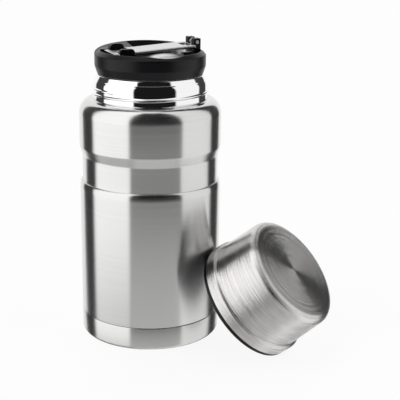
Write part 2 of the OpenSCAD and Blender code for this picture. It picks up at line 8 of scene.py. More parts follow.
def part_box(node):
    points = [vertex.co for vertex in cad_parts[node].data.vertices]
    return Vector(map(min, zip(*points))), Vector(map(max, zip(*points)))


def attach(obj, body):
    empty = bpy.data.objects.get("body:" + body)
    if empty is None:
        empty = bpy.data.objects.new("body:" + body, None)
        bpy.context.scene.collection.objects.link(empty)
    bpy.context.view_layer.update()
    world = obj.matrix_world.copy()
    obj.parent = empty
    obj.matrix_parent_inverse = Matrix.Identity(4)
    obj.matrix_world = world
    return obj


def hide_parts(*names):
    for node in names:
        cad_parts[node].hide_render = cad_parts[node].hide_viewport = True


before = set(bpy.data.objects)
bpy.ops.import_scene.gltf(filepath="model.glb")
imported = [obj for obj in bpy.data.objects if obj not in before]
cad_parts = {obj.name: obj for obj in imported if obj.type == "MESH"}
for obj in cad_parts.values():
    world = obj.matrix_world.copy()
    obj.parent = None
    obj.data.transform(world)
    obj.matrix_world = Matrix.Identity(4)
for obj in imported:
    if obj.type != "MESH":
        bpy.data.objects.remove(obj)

bl_info = {
    "name": "Insulated food jar",
    "version": (1, 0, 0),
    "blender": (4, 5, 0),
    "location": "3D View > Sidebar > Food Jar",
    "description": "Dresses the packed food jar in steel and moulded plastic, in a studio",
    "category": "Object",
}

MM = 0.001
TURN = 2 * math.pi
HAIR = 0.02 * MM    # keeps apart two faces that would fall together in a Boolean
OVER = 1 * MM       # how far a cutting solid reaches past what it cuts
ALONG_Y = Matrix.Rotation(-math.pi / 2, 4, "X")    # lays an upright bar along Y


# ---- Kinds of property ----

def length(name, description, millimetres):
    return bpy.props.FloatProperty(
        name=name, description=description, default=millimetres * MM, unit="LENGTH")


def angle(name, description, degrees):
    return bpy.props.FloatProperty(
        name=name, description=description, default=math.radians(degrees), subtype="ANGLE")


def share(name, description, value):
    return bpy.props.FloatProperty(
        name=name, description=description, default=value, min=0, max=1, subtype="FACTOR")


def level(name, description, value):
    return bpy.props.FloatProperty(name=name, description=description, default=value, min=0)


def colour(name, description, value):
    return bpy.props.FloatVectorProperty(
        name=name, description=description, default=value, size=3, min=0, max=1, subtype="COLOR")


# ---- Sizes and colours that a user would change ----

class JarBodySizes(bpy.types.PropertyGroup):
    """The steel body; its radius, its seam and its top come from the frame"""

    wall: length("Wall", "Thickness of the pressed steel", 1)
    lower_h: length("Lower height", "Height of the straight wall above the seam", 91.2)
    lower_round_h: length("Lower rounding", "Height of the rounding on the lower body", 5.8)
    waist_depth: length("Waist depth", "How far the waist lies inside the body", 1.9)
    waist_h: length("Waist height", "Height of the waist", 18)
    flare_h: length("Flare height", "Height of the flare from the waist to the band", 6.5)
    band_h: length("Band height", "Height of the upper band", 22)
    shoulder_flat: length("Shoulder flat", "Width of the flat ring round the neck's foot", 2)
    neck_fillet: length("Neck fillet", "Hollow rounding between the shoulder and the neck", 1.1)
    soft_corner: length("Soft corner", "Rounding at the waist and the flare", 4)
    edge_round: length("Edge rounding", "Rounding at the seam's edges", 0.35)
    foot_round: length("Foot rounding", "Rounding at the foot", 2.6)
    foot_w: length("Foot width", "Width of the ring that the jar stands on", 6)
    foot_rise: length("Foot rise", "How far the middle of the base is raised", 1.2)


class JarNeckSizes(bpy.types.PropertyGroup):
    """The polished neck with the rolled thread, and the vessel's mouth inside it"""

    radius: length("Radius", "Radius of the neck's straight part", 40)
    thread_d: length("Thread depth", "How far the rolled thread stands out", 1.1)
    pitch: length("Pitch", "Distance from one turn to the next", 3.6)
    turns: level("Turns", "Number of turns of the rolled thread", 1.5)
    thread_rise: length("Thread rise", "Height of the thread's start above the shoulder", 3)
    thread_from: angle("Thread start", "Direction in which the thread starts", -300)
    ridge_half: length("Ridge half width", "Half of the width of the thread's ridge", 1.35)
    taper: length("Taper", "How much narrower the neck is at its lip", 2.5)
    swell: length("Swell", "How far the neck draws in up to its crease", 1.1)
    crease_drop: length("Crease drop", "Height of the crease below the lip", 3.8)
    crease_h: length("Crease height", "Height of the upright ring above the crease", 0.9)
    bend: level("Bend", "How late the neck bends in to its crease", 5)
    lip_w: length("Lip width", "Radial size of the lip's rounding", 1.2)
    lip_h: length("Lip height", "Height of the lip's rounding", 0.8)
    mouth_gap: length("Mouth gap", "Space between the vessel's mouth and the neck", 0.5)
    mouth_h: length("Mouth height", "Height of the vessel's mouth", 29.2)
    vessel_shoulder_h: length(
        "Vessel shoulder", "Height of the vessel's rounding to its mouth", 12)
    mouth_lead: length("Mouth lead", "Rise of the mouth's thread in one turn", 14)
    mouth_turns: level("Mouth turns", "Number of turns of each ridge in the mouth", 0.9)
    mouth_ridge_d: length("Mouth ridge", "How far a ridge stands into the mouth", 1.4)
    mouth_thread_rise: length("Mouth thread rise", "Height of the ridge above the mouth's foot", 5)


class JarStopperSizes(bpy.types.PropertyGroup):
    """The black stopper's head and plug"""

    skirt_gap: length("Skirt gap", "Space between the neck's lip and the skirt", 0.5)
    skirt_h: length("Skirt height", "Height of the slanting skirt", 5.3)
    skirt_in: length("Skirt in", "How far the foot of the skirt is drawn in", 1.7)
    top_round: length("Top rounding", "Rounding of the upper edge", 4.4)
    rim_w: length("Rim width", "Width of the rim round the recess", 3.9)
    rim_drop: length("Rim drop", "How much lower the rim is than the raised back", 2.4)
    edge_w: length("Edge width", "Width of the rim's slanting edge", 3.3)
    edge_h: length("Edge height", "Height of the rim's slanting edge", 2.7)
    back_slope: angle("Back slope", "Slope of the top up to the raised back", 7.3)
    back_from: length("Back from", "How far behind the axis the top starts to rise", 18)
    back_turn: angle("Back turn", "How far round the raised back is turned", 10)
    recess_d: length("Recess depth", "Depth of the spoon's recess", 10.4)
    dip_d: length("Dip depth", "Depth of the finger dip in the rim", 1.2)
    dip_half: length("Dip half width", "Half of the finger dip's width", 12)
    deck_t: length("Deck", "Thickness of the recess's floor", 2)
    lug_l: length("Lug length", "Length of the lugs beside the handle's neck", 10.5)
    lug_t: length("Lug thickness", "Thickness of the lugs", 3.5)
    lug_round: length("Lug rounding", "Rounding of the front lug's top", 2)
    back_lug_round: length("Back lug rounding", "Rounding of the back lug's top", 3.5)
    back_lug_in: length("Back lug in", "How far the back lug reaches over the handle's width", 2)
    back_lug_h: length("Back lug", "Height of the back lug above the handle", 3.5)
    front_lug_h: length("Front lug", "Height of the front lug above the handle", 2.3)
    plug_wall: length("Plug wall", "Wall thickness of the plug", 1.6)
    plug_corner: length("Plug corner", "Rounding at the plug's end", 3)
    plug_turns: level("Plug turns", "Number of turns of each ridge on the plug", 0.8)
    ridge_half: length("Ridge half width", "Half of the width of the plug's ridges", 1.2)
    softness: length("Softness", "Size of the voxels that soften the moulded edges", 0.32)


class JarSpoonSizes(bpy.types.PropertyGroup):
    """The folding spoon, which lies across the stopper"""

    bearing: angle("Bearing", "Direction of the folded spoon", 20)
    droop: angle("Droop", "Slope of the handle towards its end", 3.7)
    handle_w: length("Handle width", "Width of the handle", 24)
    steel_t: length("Steel", "Thickness of the spoon's steel", 0.9)
    lip_h: length("Lip", "Depth of the handle's turned-down edges", 2)
    neck_w: length("Neck width", "Width of the handle between the lugs", 9)
    bar_l: length("Bar", "Length of the cross bar at the handle's end", 4.1)
    notch_gap: length("Notch gap", "Space between a lug and its notch", 0.35)
    tip_gap: length("Tip gap", "Space between the handle's end and the rim", 2.3)
    window_l: length("Window length", "Length of the window near the hinge", 5.5)
    window_w: length("Window width", "Width of the window near the hinge", 10)
    window_edge: length("Window edge", "Strip left between the window and the end", 1.3)
    end_gap: length("End gap", "Space between the handle and the hinge block", 0.4)
    support: length("Edge rounding", "Size of the rounding at the sheet's edges", 0.4)
    bowl_gap: length("Bowl gap", "Space between the lugs and the bowl", 1.2)
    bowl_slim: length("Bowl slim", "How much narrower the bowl is than long", 1)
    bowl_d: length("Bowl depth", "Depth of the bowl", 8.1)
    bowl_to_block: length("Bowl to block", "Space between the bowl and the hinge block", 3.7)
    tang_margin: length("Tang margin", "Hinge block's width beside the tang", 2)
    tang_over: length("Tang overlap", "How far the tang runs over the bowl", 5)
    tang_rise: share("Tang rise", "Height of the tang as a share of the bowl's depth", 0.64)
    tang_in: length("Tang in", "How far the tang goes into the hinge block", 3.5)
    pin_over_bowl: length("Pin height", "Height of the pin above the bowl", 4.6)
    pin_r: length("Pin radius", "Radius of the hinge pin's hole", 1.2)
    pin_fit: length("Pin fit", "Clearance of the handle's curl on the pin", 0.04)
    knuckle_r: length("Knuckle", "Radius of the hinge block's rounded top", 2.5)
    block_w: length("Block width", "Width of the hinge block", 16)
    curl_w: length("Curl width", "Width of the handle's curl", 5)
    free_gap: length("Free gap", "Space between parts that move past each other", 0.3)


class JarCupSizes(bpy.types.PropertyGroup):
    """The steel cup lid, in its own directions: up from its rim to its closed end"""

    lean: angle("Lean", "Slope of the leaning cup's axis", 41.1)
    bearing: angle("Bearing", "Direction of the leaning cup from the jar", -28.8)
    lean_gap: length("Lean gap", "Space between the rim and the body", 0.3)
    wall: length("Wall", "Thickness of the cup's steel", 0.7)
    liner_wall: length("Liner wall", "Thickness of the liner", 0.6)
    ring_in_r: length("Ring radius", "Inner radius of the threaded ring", 41.5)
    ring_wall: length("Ring wall", "Thickness of the ring's sleeve", 1)
    ring_h: length("Ring height", "Height of the ring that shows at the rim", 3)
    rim_round: length("Rim rounding", "Rounding of the rim", 0.8)
    rim_inset: length("Rim inset", "How far the ring lies inside the flange", 0.2)
    flange_h: length("Flange height", "Height of the flange above the rim", 10.4)
    side_r: length("Side radius", "Radius of the wall above the flange", 41.4)
    draft: length("Draft", "How much narrower the closed end is", 1.25)
    round_w: length("Rounding width", "Radial size of the rounding at the closed end", 5.6)
    round_h: length("Rounding height", "Height of the rounding at the closed end", 5.2)
    height: length("Height", "Height of the cup", 45)
    end_gap: length("End gap", "Space between the closed end and the liner", 0.8)
    seat_gap: length("Seat gap", "Gap round a pressed seat", 0.1)
    step_soft: length("Step rounding", "Rounding of the flange's step", 1.1)


class JarFinishes(bpy.types.PropertyGroup):
    """Colours and gloss of the jar's materials"""

    body_steel: colour("Body steel", "Satin steel of the body", (0.72, 0.72, 0.71))
    mirror_steel: colour("Neck steel", "Polished steel of the neck", (0.93, 0.93, 0.94))
    cup_steel: colour("Cup steel", "Spun steel of the cup", (0.74, 0.725, 0.715))
    spoon_steel: colour("Spoon steel", "Bright steel of the spoon", (0.86, 0.86, 0.87))
    handle_steel: colour(
        "Handle steel", "Brushed steel of the spoon's handle", (0.64, 0.64, 0.645))
    drawn_steel: colour("Vessel steel", "Drawn steel of the inner parts", (0.68, 0.68, 0.68))
    plastic: colour("Plastic", "Black plastic", (0.005, 0.005, 0.007))
    silicone: colour("Silicone", "Seal ring", (0.66, 0.67, 0.67))
    foam: colour("Foam", "Foam in the plug", (0.80, 0.72, 0.52))
    foil: colour("Foil", "Heat-reflecting foil", (0.83, 0.72, 0.50))
    getter: colour("Getter", "Sintered getter metal", (0.24, 0.24, 0.26))
    glass: colour("Glass", "Bead that seals the vacuum", (0.30, 0.36, 0.33))
    satin: share("Satin", "Roughness of the body", 0.225)
    spun: share("Spun", "Roughness of the cup's steel along its grooves", 0.2)
    spun_tilt: level("Spun tilt", "How far the cup's grooves tilt its surface", 3.4)
    plastic_gloss: share("Plastic roughness", "Roughness of the black plastic", 0.36)


class JarStudioSizes(bpy.types.PropertyGroup):
    """Camera and light; a bearing is measured from the camera's side, positive to the right"""

    camera_at: bpy.props.FloatVectorProperty(
        name="Camera", description="Place of the camera", default=(0, -0.7011224, 0.3012704),
        unit="LENGTH")
    yaw: bpy.props.FloatProperty(
        name="Yaw", description="Camera turned to the right", default=0.0511, subtype="ANGLE")
    pitch: bpy.props.FloatProperty(
        name="Pitch", description="Camera turned down", default=0.2849, subtype="ANGLE")
    roll: bpy.props.FloatProperty(
        name="Roll", description="Camera rolled", default=0.0132, subtype="ANGLE")
    lens: bpy.props.FloatProperty(
        name="Lens", description="Focal length on a 36 mm sensor", default=90.8476)
    left_from: angle("Left panel from", "Bearing of the left panel's far edge", -105)
    left_to: angle("Left panel to", "Bearing of the left panel's near edge", -34)
    right_from: angle("Right panel from", "Bearing of the right panel's near edge", 52)
    right_to: angle("Right panel to", "Bearing of the right panel's far edge", 114)
    back_left: angle("Back left", "Bearing on the left where the white back starts", -138)
    back_right: angle("Back right", "Bearing on the right where the white back starts", 146)
    edge: angle("Panel edge", "Softness of the panels' edges", 3)
    left_level: level("Left level", "Brightness of the left panel", 1.35)
    right_level: level("Right level", "Brightness of the right panel", 0.98)
    back_level: level("Back level", "Brightness behind the jar", 1.0)
    flag_level: level("Flag level", "Brightness of the dark flags", 0.05)
    front_low: level("Front low", "Brightness below the dark front", 0.66)
    front_dark: level("Front dark", "Brightness of the dark front", 0.010)
    front_high: level("Front high", "Brightness above the dark front", 0.20)
    top_level: level("Top level", "Brightness straight above", 1.0)
    low_level: level("Low level", "Brightness below the left panel", 0.45)
    floor_size: length("Floor", "Width of the floor", 8000)
    floor_tone: share("Floor tone", "Paleness of the floor", 0.85)
    floor_glow: share("Floor glow", "Share of the floor's white that keeps no shadow", 0.86)
    glow_level: level("Glow level", "Brightness of the floor's white", 1.05)


# ---- Shader nodes ----

class Value:
    """A socket that can be used in sums; an expression on it adds the Math nodes."""

    def __init__(self, board, socket):
        self.board, self.socket = board, socket

    def out(self, name):
        return Value(self.board, self.socket.node.outputs[name])

    def __add__(self, other):
        return self.board.math("ADD", self, other)

    def __radd__(self, other):
        return self.board.math("ADD", other, self)

    def __sub__(self, other):
        return self.board.math("SUBTRACT", self, other)

    def __rsub__(self, other):
        return self.board.math("SUBTRACT", other, self)

    def __mul__(self, other):
        return self.board.math("MULTIPLY", self, other)

    def __rmul__(self, other):
        return self.board.math("MULTIPLY", other, self)


class Board:
    """The nodes of one material or of the world."""

    def __init__(self, tree):
        self.tree = tree
        tree.nodes.clear()

    def node(self, kind, settings=None, sockets=None, output=0):
        """Adds a node, sets it up, feeds its sockets and gives one of its outputs."""
        made = self.tree.nodes.new(kind)
        for key, setting in (settings or {}).items():
            setattr(made, key, setting)
        for key, value in (sockets or {}).items():
            if isinstance(value, Value):
                self.tree.links.new(value.socket, made.inputs[key])
            else:
                made.inputs[key].default_value = value
        return Value(self, made.outputs[output]) if made.outputs else None

    def math(self, operation, *values):
        return self.node("ShaderNodeMath", {"operation": operation}, dict(enumerate(values)))

    def vector(self, operation, *values, output=0):
        return self.node("ShaderNodeVectorMath", {"operation": operation},
                         dict(enumerate(values)), output)

    def mix(self, factor, first, second):
        """Colour between two colours."""
        return self.node("ShaderNodeMix", {"data_type": "RGBA"},
                         {0: factor, 6: rgba(first), 7: rgba(second)}, 2)

    def step(self, value, low, high):
        """0 below low, 1 above high, smooth between."""
        return self.node("ShaderNodeMapRange", {"interpolation_type": "SMOOTHSTEP"},
                         {"Value": value, "From Min": low, "From Max": high})

    def noise(self, vector, scale, detail=3, roughness=0.5):
        return self.node("ShaderNodeTexNoise", {},
                         {"Vector": vector, "Scale": scale, "Detail": detail,
                          "Roughness": roughness})

    def place(self):
        """Place on the piece, in metres, which moves with its body."""
        return self.node("ShaderNodeTexCoord", output="Object")

    def axes(self, vector):
        """The vector's three numbers."""
        parts = self.node("ShaderNodeSeparateXYZ", {}, {0: vector})
        return parts, parts.out("Y"), parts.out("Z")

    def join(self, x, y, z):
        return self.node("ShaderNodeCombineXYZ", {}, {0: x, 1: y, 2: z})

    def bump(self, height, distance, strength=1):
        return self.node("ShaderNodeBump", {},
                         {"Height": height, "Distance": distance, "Strength": strength})


def rgba(value):
    return value if isinstance(value, Value) else (*value, 1)


def darker(value, factor):
    return tuple(channel * factor for channel in value)


def material(name, paint):
    """Material made once by paint(board), which gives the sockets of the Principled shader."""
    made = bpy.data.materials.get(name)
    if made is None:
        made = bpy.data.materials.new(name)
        made.use_nodes = True
        board = Board(made.node_tree)
        shader = board.node("ShaderNodeBsdfPrincipled", {}, paint(board))
        board.node("ShaderNodeOutputMaterial", {}, {"Surface": shader})
    return made


def turned_lines(board, fine, wander):
    """Noise in lines that run round the jar's axis, on a wall and on an end."""
    place = board.place()
    x, y, z = board.axes(place)
    radius = board.vector("LENGTH", board.join(x, y, 0), output="Value")
    return board.noise(board.join(radius * fine, z * fine, (x + y) * wander), 1, 4, 0.6)


def blotches(board, lines, marks):
    """Where steel shows its full colour: from its lines and its handling marks."""
    return board.step(lines * 0.6 + marks * 0.4, 0.34, 0.66)


def steel(name, base, roughness, grain, lines, anisotropic, polished=None):
    """Turned or drawn steel: fine lines in its colour and gloss, and faint handling marks.

    polished gives the two heights between which the gloss rises to a polish.
    """
    wander, drawn_spread, marks_spread, polish = 9, 0.35, 0.25, 0.6

    def paint(board):
        drawn = turned_lines(board, lines, wander)
        marks = board.noise(board.place(), 22, 4, 0.55)
        rough = (roughness + (drawn - 0.5) * (drawn_spread * roughness)
                 + (marks - 0.5) * (marks_spread * roughness))
        if polished:
            height = board.axes(board.place())[2]
            rough = rough * (1 - board.step(height, *polished) * polish)
        return {
            "Base Color": board.mix(blotches(board, drawn, marks), darker(base, 1 - grain), base),
            "Metallic": 1.0,
            "Roughness": rough,
            "Anisotropic": anisotropic,
            "Anisotropic Rotation": 0.25 if anisotropic else 0.0,
            "Normal": board.bump(drawn, 0.2 * MM * grain, 0.6),
        }
    return material(name, paint)


def satin_steel(finish):
    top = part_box("outer_shell")[1].z
    return steel("brushed_body", finish.body_steel, finish.satin, 0.07, 1500, 0.94,
                 (top - 5 * MM, top - 0.5 * MM))


def mirror_steel(finish):
    return steel("mirror_steel", finish.mirror_steel, 0.05, 0.03, 700, 0.0)


def spun_steel(finish, place):
    """Spun steel: fine grooves round the axis of place tilt the surface to and fro across them."""
    middle, axis = place.translation, place.to_3x3() @ Vector((0, 0, 1))
    groove_scale, band_scale, gloss_spread = 14000, 900, 0.05

    def paint(board):
        at = board.place()
        out = board.vector("SUBTRACT", at, tuple(middle))
        height = board.vector("DOT_PRODUCT", out, tuple(axis), output="Value")
        around = board.vector("CROSS_PRODUCT", tuple(axis), out)
        radius = board.vector("LENGTH", around, output="Value")
        grooves = board.noise(
            board.join(radius * groove_scale, height * groove_scale, 0), 1, 2, 0.5)
        bands = board.noise(board.join(radius * band_scale, height * band_scale, 0), 1, 3, 0.6)
        marks = board.noise(at, 26, 4, 0.55)
        normal = board.node("ShaderNodeTexCoord", output="Normal")
        along = board.vector("NORMALIZE", around)
        across = board.vector("NORMALIZE", board.vector("CROSS_PRODUCT", normal, along))
        tilt = (grooves - 0.5) * finish.spun_tilt
        tilted = board.vector(
            "ADD", normal, board.vector("MULTIPLY", across, board.join(tilt, tilt, tilt)))
        return {
            "Base Color": board.mix(blotches(board, bands, marks),
                                    darker(finish.cup_steel, 0.92), finish.cup_steel),
            "Metallic": 1.0,
            "Roughness": (finish.spun + (bands - 0.5) * gloss_spread
                          + (marks - 0.5) * gloss_spread),
            "Normal": board.node(
                "ShaderNodeVectorTransform",
                {"vector_type": "NORMAL", "convert_from": "OBJECT", "convert_to": "WORLD"},
                {0: board.vector("NORMALIZE", tilted)}),
        }
    return material("spun_cup", paint)


def bright_steel(finish):
    return steel("bright_steel", finish.spoon_steel, 0.36, 0.05, 900, 0.0)


def brushed_strip(finish):
    return steel("brushed_strip", finish.handle_steel, 0.24, 0.06, 900, 0.0)


def drawn_steel(finish):
    return steel("drawn_steel", finish.drawn_steel, 0.27, 0.08, 900, 0.4)


def moulded_black(finish):
    """Black plastic with the fine spark-eroded grain of its mould."""
    def paint(board):
        place = board.place()
        grain = board.noise(place, 5200, 2, 0.6)
        clouds = board.noise(place, 60, 3, 0.5)
        return {
            "Base Color": board.mix(board.step(clouds, 0.35, 0.65),
                                    darker(finish.plastic, 0.75), finish.plastic),
            "Roughness": finish.plastic_gloss + (clouds - 0.5) * 0.08 + (grain - 0.5) * 0.06,
            "IOR": 1.34,
            "Normal": board.bump(grain, 0.012 * MM, 0.5),
        }
    return material("moulded_black", paint)


def soft_silicone(finish):
    """Milky silicone with a trace of dust."""
    def paint(board):
        dust = board.noise(board.place(), 900, 4, 0.7)
        return {
            "Base Color": board.mix(board.step(dust, 0.4, 0.7), darker(finish.silicone, 0.9),
                                    finish.silicone),
            "Roughness": 0.42 + (dust - 0.5) * 0.12,
            "Subsurface Weight": 0.2,
            "Subsurface Radius": (0.002, 0.002, 0.002),
            "Normal": board.bump(dust, 0.02 * MM, 0.4),
        }
    return material("soft_silicone", paint)


def cell_foam(finish):
    """Rigid foam: small closed cells."""
    def paint(board):
        cells = board.node("ShaderNodeTexVoronoi", {"feature": "F1"},
                           {"Vector": board.place(), "Scale": 900.0})
        return {
            "Base Color": board.mix(board.step(cells, 0.05, 0.6), finish.foam,
                                    darker(finish.foam, 0.72)),
            "Roughness": 0.9,
            "Normal": board.bump(cells, 0.2 * MM, 0.6),
        }
    return material("cell_foam", paint)


def crinkled_foil(finish):
    """Wrapped foil with shallow crinkles, and painted shade along their folds."""
    def paint(board):
        crinkle = board.node("ShaderNodeTexVoronoi", {"feature": "DISTANCE_TO_EDGE"},
                             {"Vector": board.place(), "Scale": 120.0})
        return {
            # The colour is darker along the folds between crinkles: painted shade in the creases.
            "Base Color": board.mix(board.step(crinkle, 0.02, 0.3),
                                    darker(finish.foil, 0.85), finish.foil),
            "Metallic": 1.0,
            "Roughness": 0.16 + board.step(crinkle, 0.0, 0.5) * 0.1,
            "Normal": board.bump(crinkle, 0.15 * MM, 0.5),
        }
    return material("crinkled_foil", paint)


def sintered_metal(finish):
    """Getter pellet: matt sintered grains."""
    def paint(board):
        grains = board.noise(board.place(), 2500, 5, 0.7)
        return {
            "Base Color": board.mix(grains, darker(finish.getter, 0.6), finish.getter),
            "Metallic": 0.8,
            "Roughness": 0.62 + (grains - 0.5) * 0.2,
            "Normal": board.bump(grains, 0.05 * MM, 0.7),
        }
    return material("sintered_metal", paint)


def fused_bead(finish):
    """Glassy bead with fine bubbles."""
    def paint(board):
        bubbles = board.noise(board.place(), 1400, 2, 0.4)
        return {
            "Base Color": board.mix(board.step(bubbles, 0.45, 0.7), finish.glass,
                                    darker(finish.glass, 0.7)),
            "Roughness": 0.12 + board.step(bubbles, 0.5, 0.8) * 0.15,
            "Coat Weight": 0.5,
            "Normal": board.bump(bubbles, 0.03 * MM, 0.5),
        }
    return material("fused_bead", paint)


# ---- Outlines: points of (radius, height) ----

def arc(centre, wide, high, start, end, steps=12):
    """Points of an ellipse's arc, from one angle to another, in degrees."""
    angles = [math.radians(start + (end - start) * i / steps) for i in range(steps + 1)]
    return [(centre[0] + wide * math.cos(a), centre[1] + high * math.sin(a)) for a in angles]


def rounded(corners, steps=5):
    """Closed outline from corners of (radius, height) or (radius, height, rounding)."""
    line = []
    for i, corner in enumerate(corners):
        here = Vector(corner[:2])
        if len(corner) < 3:
            line.append(tuple(here))
            continue
        back = Vector(corners[i - 1][:2]) - here
        ahead = Vector(corners[(i + 1) % len(corners)][:2]) - here
        half = back.angle(ahead) / 2
        reach = min(corner[2] / math.tan(half), 0.49 * back.length, 0.49 * ahead.length)
        size = reach * math.tan(half)
        inward = (back.normalized() + ahead.normalized()).normalized()
        middle = here + inward * size / math.sin(half)
        start = here + back.normalized() * reach - middle
        swing = start.angle_signed(here + ahead.normalized() * reach - middle)
        for k in range(steps + 1):
            line.append(tuple(middle + Matrix.Rotation(-swing * k / steps, 2) @ start))
    return line


def fine(line, step):
    """The same open line with points no further apart than step."""
    points = [line[0]]
    for (r0, z0), (r1, z1) in zip(line, line[1:]):
        parts = max(1, math.ceil(math.hypot(r1 - r0, z1 - z0) / step))
        points += [(r0 + (r1 - r0) * k / parts, z0 + (z1 - z0) * k / parts)
                   for k in range(1, parts + 1)]
    return points


def near(radius):
    """Radii between which a ridge swells a wall of this radius."""
    return radius - 0.1 * MM, radius + 0.1 * MM


def ridge(start, first_z, lead, turns, depth, half, radii, starts=1, fade=0.35):
    """Swell for lathe(): helical ridges with tapered ends, on the walls between two radii."""
    def swell(around, radius, height):
        if not radii[0] <= radius <= radii[1]:
            return 0
        most = 0
        for s in range(starts):
            turned = (around - start - TURN * s / starts) % TURN
            while turned <= turns * TURN:
                off = abs(height - first_z - lead * turned / TURN)
                if off < half:
                    taper = min(1, turned / fade, (turns * TURN - turned) / fade)
                    smooth = taper * taper * (3 - 2 * taper)
                    most = max(most, smooth * (1 + math.cos(math.pi * off / half)) / 2)
                turned += TURN
        return depth * most
    return swell


# ---- Meshes ----

def shaded(bm, name, sharp=32):
    """Mesh from bm with smooth faces; edges over so many degrees stay sharp."""
    bmesh.ops.recalc_face_normals(bm, faces=bm.faces)
    for face in bm.faces:
        face.smooth = True
    for edge in bm.edges:
        edge.smooth = edge.calc_face_angle(0) < math.radians(sharp)
    mesh = bpy.data.meshes.new(name)
    bm.to_mesh(mesh)
    bm.free()
    return mesh


def lathe(name, line, around=224, swell=None):
    """Closed mesh turned round Z from an outline of (radius, height) points."""
    bm = bmesh.new()
    rings = []
    for radius, height in line:
        if radius < 1e-6:
            rings.append([bm.verts.new((0, 0, height))] * around)
            continue
        ring = []
        for k in range(around):
            a = TURN * k / around
            r = radius + (swell(a, radius, height) if swell else 0)
            ring.append(bm.verts.new((r * math.cos(a), r * math.sin(a), height)))
        rings.append(ring)
    for low, high in zip(rings, rings[1:] + rings[:1]):
        for k in range(around):
            j = (k + 1) % around
            corners = list(dict.fromkeys((low[k], low[j], high[j], high[k])))
            if len(corners) > 2:
                bm.faces.new(corners)
    return shaded(bm, name)


def block(low, high):
    """Box between two corners, for joining and cutting."""
    bm = bmesh.new()
    bmesh.ops.create_cube(bm, size=1)
    low, high = Vector(low), Vector(high)
    for vert in bm.verts:
        vert.co = (low + high) / 2 + vert.co * (high - low)
    return shaded(bm, "block")


def slab(corners, v0, v1):
    """Outline of (u, height) or (u, height, rounding) corners, carried from v0 to v1 along Y."""
    bm = bmesh.new()
    ends = [[bm.verts.new((u, v, z)) for u, z in rounded(corners, 10)] for v in (v0, v1)]
    for end in ends:
        bm.faces.new(end)
    for i, first in enumerate(ends[0]):
        bm.faces.new((ends[0][i - 1], first, ends[1][i], ends[1][i - 1]))
    return shaded(bm, "slab")


def drum(radius, length_, place, around=128):
    """Round bar from the origin up Z, moved by place, for joining and cutting."""
    mesh = lathe("drum", [(0, 0), (radius, 0), (radius, length_), (0, length_)], around)
    mesh.transform(place)
    return mesh


def temporary(mesh):
    piece = bpy.data.objects.new("temporary", mesh)
    bpy.context.scene.collection.objects.link(piece)
    return piece


def settled(piece, name):
    """The piece's mesh with its modifiers applied; the piece itself goes."""
    graph = bpy.context.evaluated_depsgraph_get()
    graph.update()
    mesh = bpy.data.meshes.new_from_object(piece.evaluated_get(graph))
    mesh.name = name
    bpy.data.objects.remove(piece)
    return mesh


def combined(name, base, changes):
    """Mesh of a base solid after solids are joined, cut or intersected with it, in order."""
    piece = temporary(base)
    tools = []
    for operation, mesh in changes:
        tool = temporary(mesh)
        modifier = piece.modifiers.new("change", "BOOLEAN")
        modifier.operation, modifier.object, modifier.solver = operation, tool, "MANIFOLD"
        tools.append(tool)
    mesh = settled(piece, name)
    for tool in tools:
        bpy.data.objects.remove(tool)
    return mesh


def softened(name, mesh, voxel, rounds):
    """The solid remeshed in small voxels and smoothed, which rounds its edges as a mould does."""
    piece = temporary(mesh)
    remesh = piece.modifiers.new("voxels", "REMESH")
    remesh.mode, remesh.voxel_size, remesh.use_smooth_shade = "VOXEL", voxel, True
    smooth = piece.modifiers.new("smooth", "SMOOTH")
    smooth.factor, smooth.iterations = 0.5, rounds
    return settled(piece, name)


def pressed_sheet(name, stations, across, kept, thickness, levels):
    """Sheet steel from a grid of cells, thickened and subdivided so that its edges are round."""
    bm = bmesh.new()
    grid = [[bm.verts.new((x, y, z)) for y, z in across] for x in stations]
    for i in range(len(stations) - 1):
        for j in range(len(across) - 1):
            x = (stations[i] + stations[i + 1]) / 2
            y = (across[j][0] + across[j + 1][0]) / 2
            if kept(x, y):
                bm.faces.new((grid[i][j], grid[i + 1][j], grid[i + 1][j + 1], grid[i][j + 1]))
    bmesh.ops.delete(bm, geom=[v for v in bm.verts if not v.link_faces], context="VERTS")
    piece = temporary(shaded(bm, name))
    solid = piece.modifiers.new("thickness", "SOLIDIFY")
    solid.thickness, solid.offset = thickness, 0
    divided = piece.modifiers.new("subdivision", "SUBSURF")
    divided.levels = divided.render_levels = levels
    return settled(piece, name)


def supported(edges, gap):
    """Stations at the edges and a little to each side of them."""
    near = sorted({round(e + side * gap, 9) for e in edges for side in (-1, 0, 1)})
    low, high = min(edges), max(edges)
    return [x for x in near if low - 1e-9 <= x <= high + 1e-9]


def piece_from(mesh, name, body, finish, nodes=()):
    """Makes a piece of the jar: its body, material and the nodes it stands for."""
    piece = bpy.data.objects.new(name, mesh)
    bpy.context.scene.collection.objects.link(piece)
    mesh.materials.clear()
    mesh.materials.append(finish)
    for polygon in mesh.polygons:
        polygon.material_index = 0
    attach(piece, body)
    if nodes:
        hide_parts(*nodes)
    return piece


def coat(node, finish):
    """Gives a CAD node that stays its material."""
    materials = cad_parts[node].data.materials
    materials.clear()
    materials.append(finish)


# ---- Places that several pieces share ----

def stopper_facts(scene):
    """Radii and heights of the stopper, from its CAD box and sizes."""
    s = scene.jar_stopper
    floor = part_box("spoon_bowl")[0].z - scene.jar_spoon.free_gap
    top, radius = floor + s.recess_d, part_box("stopper_cap")[1].x
    return {"top": top, "rim_z": top - s.rim_drop, "radius": radius,
            "skirt_z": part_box("seal_ring")[0].z + s.skirt_gap,
            "recess_r": radius - s.rim_w, "recess_z": floor}


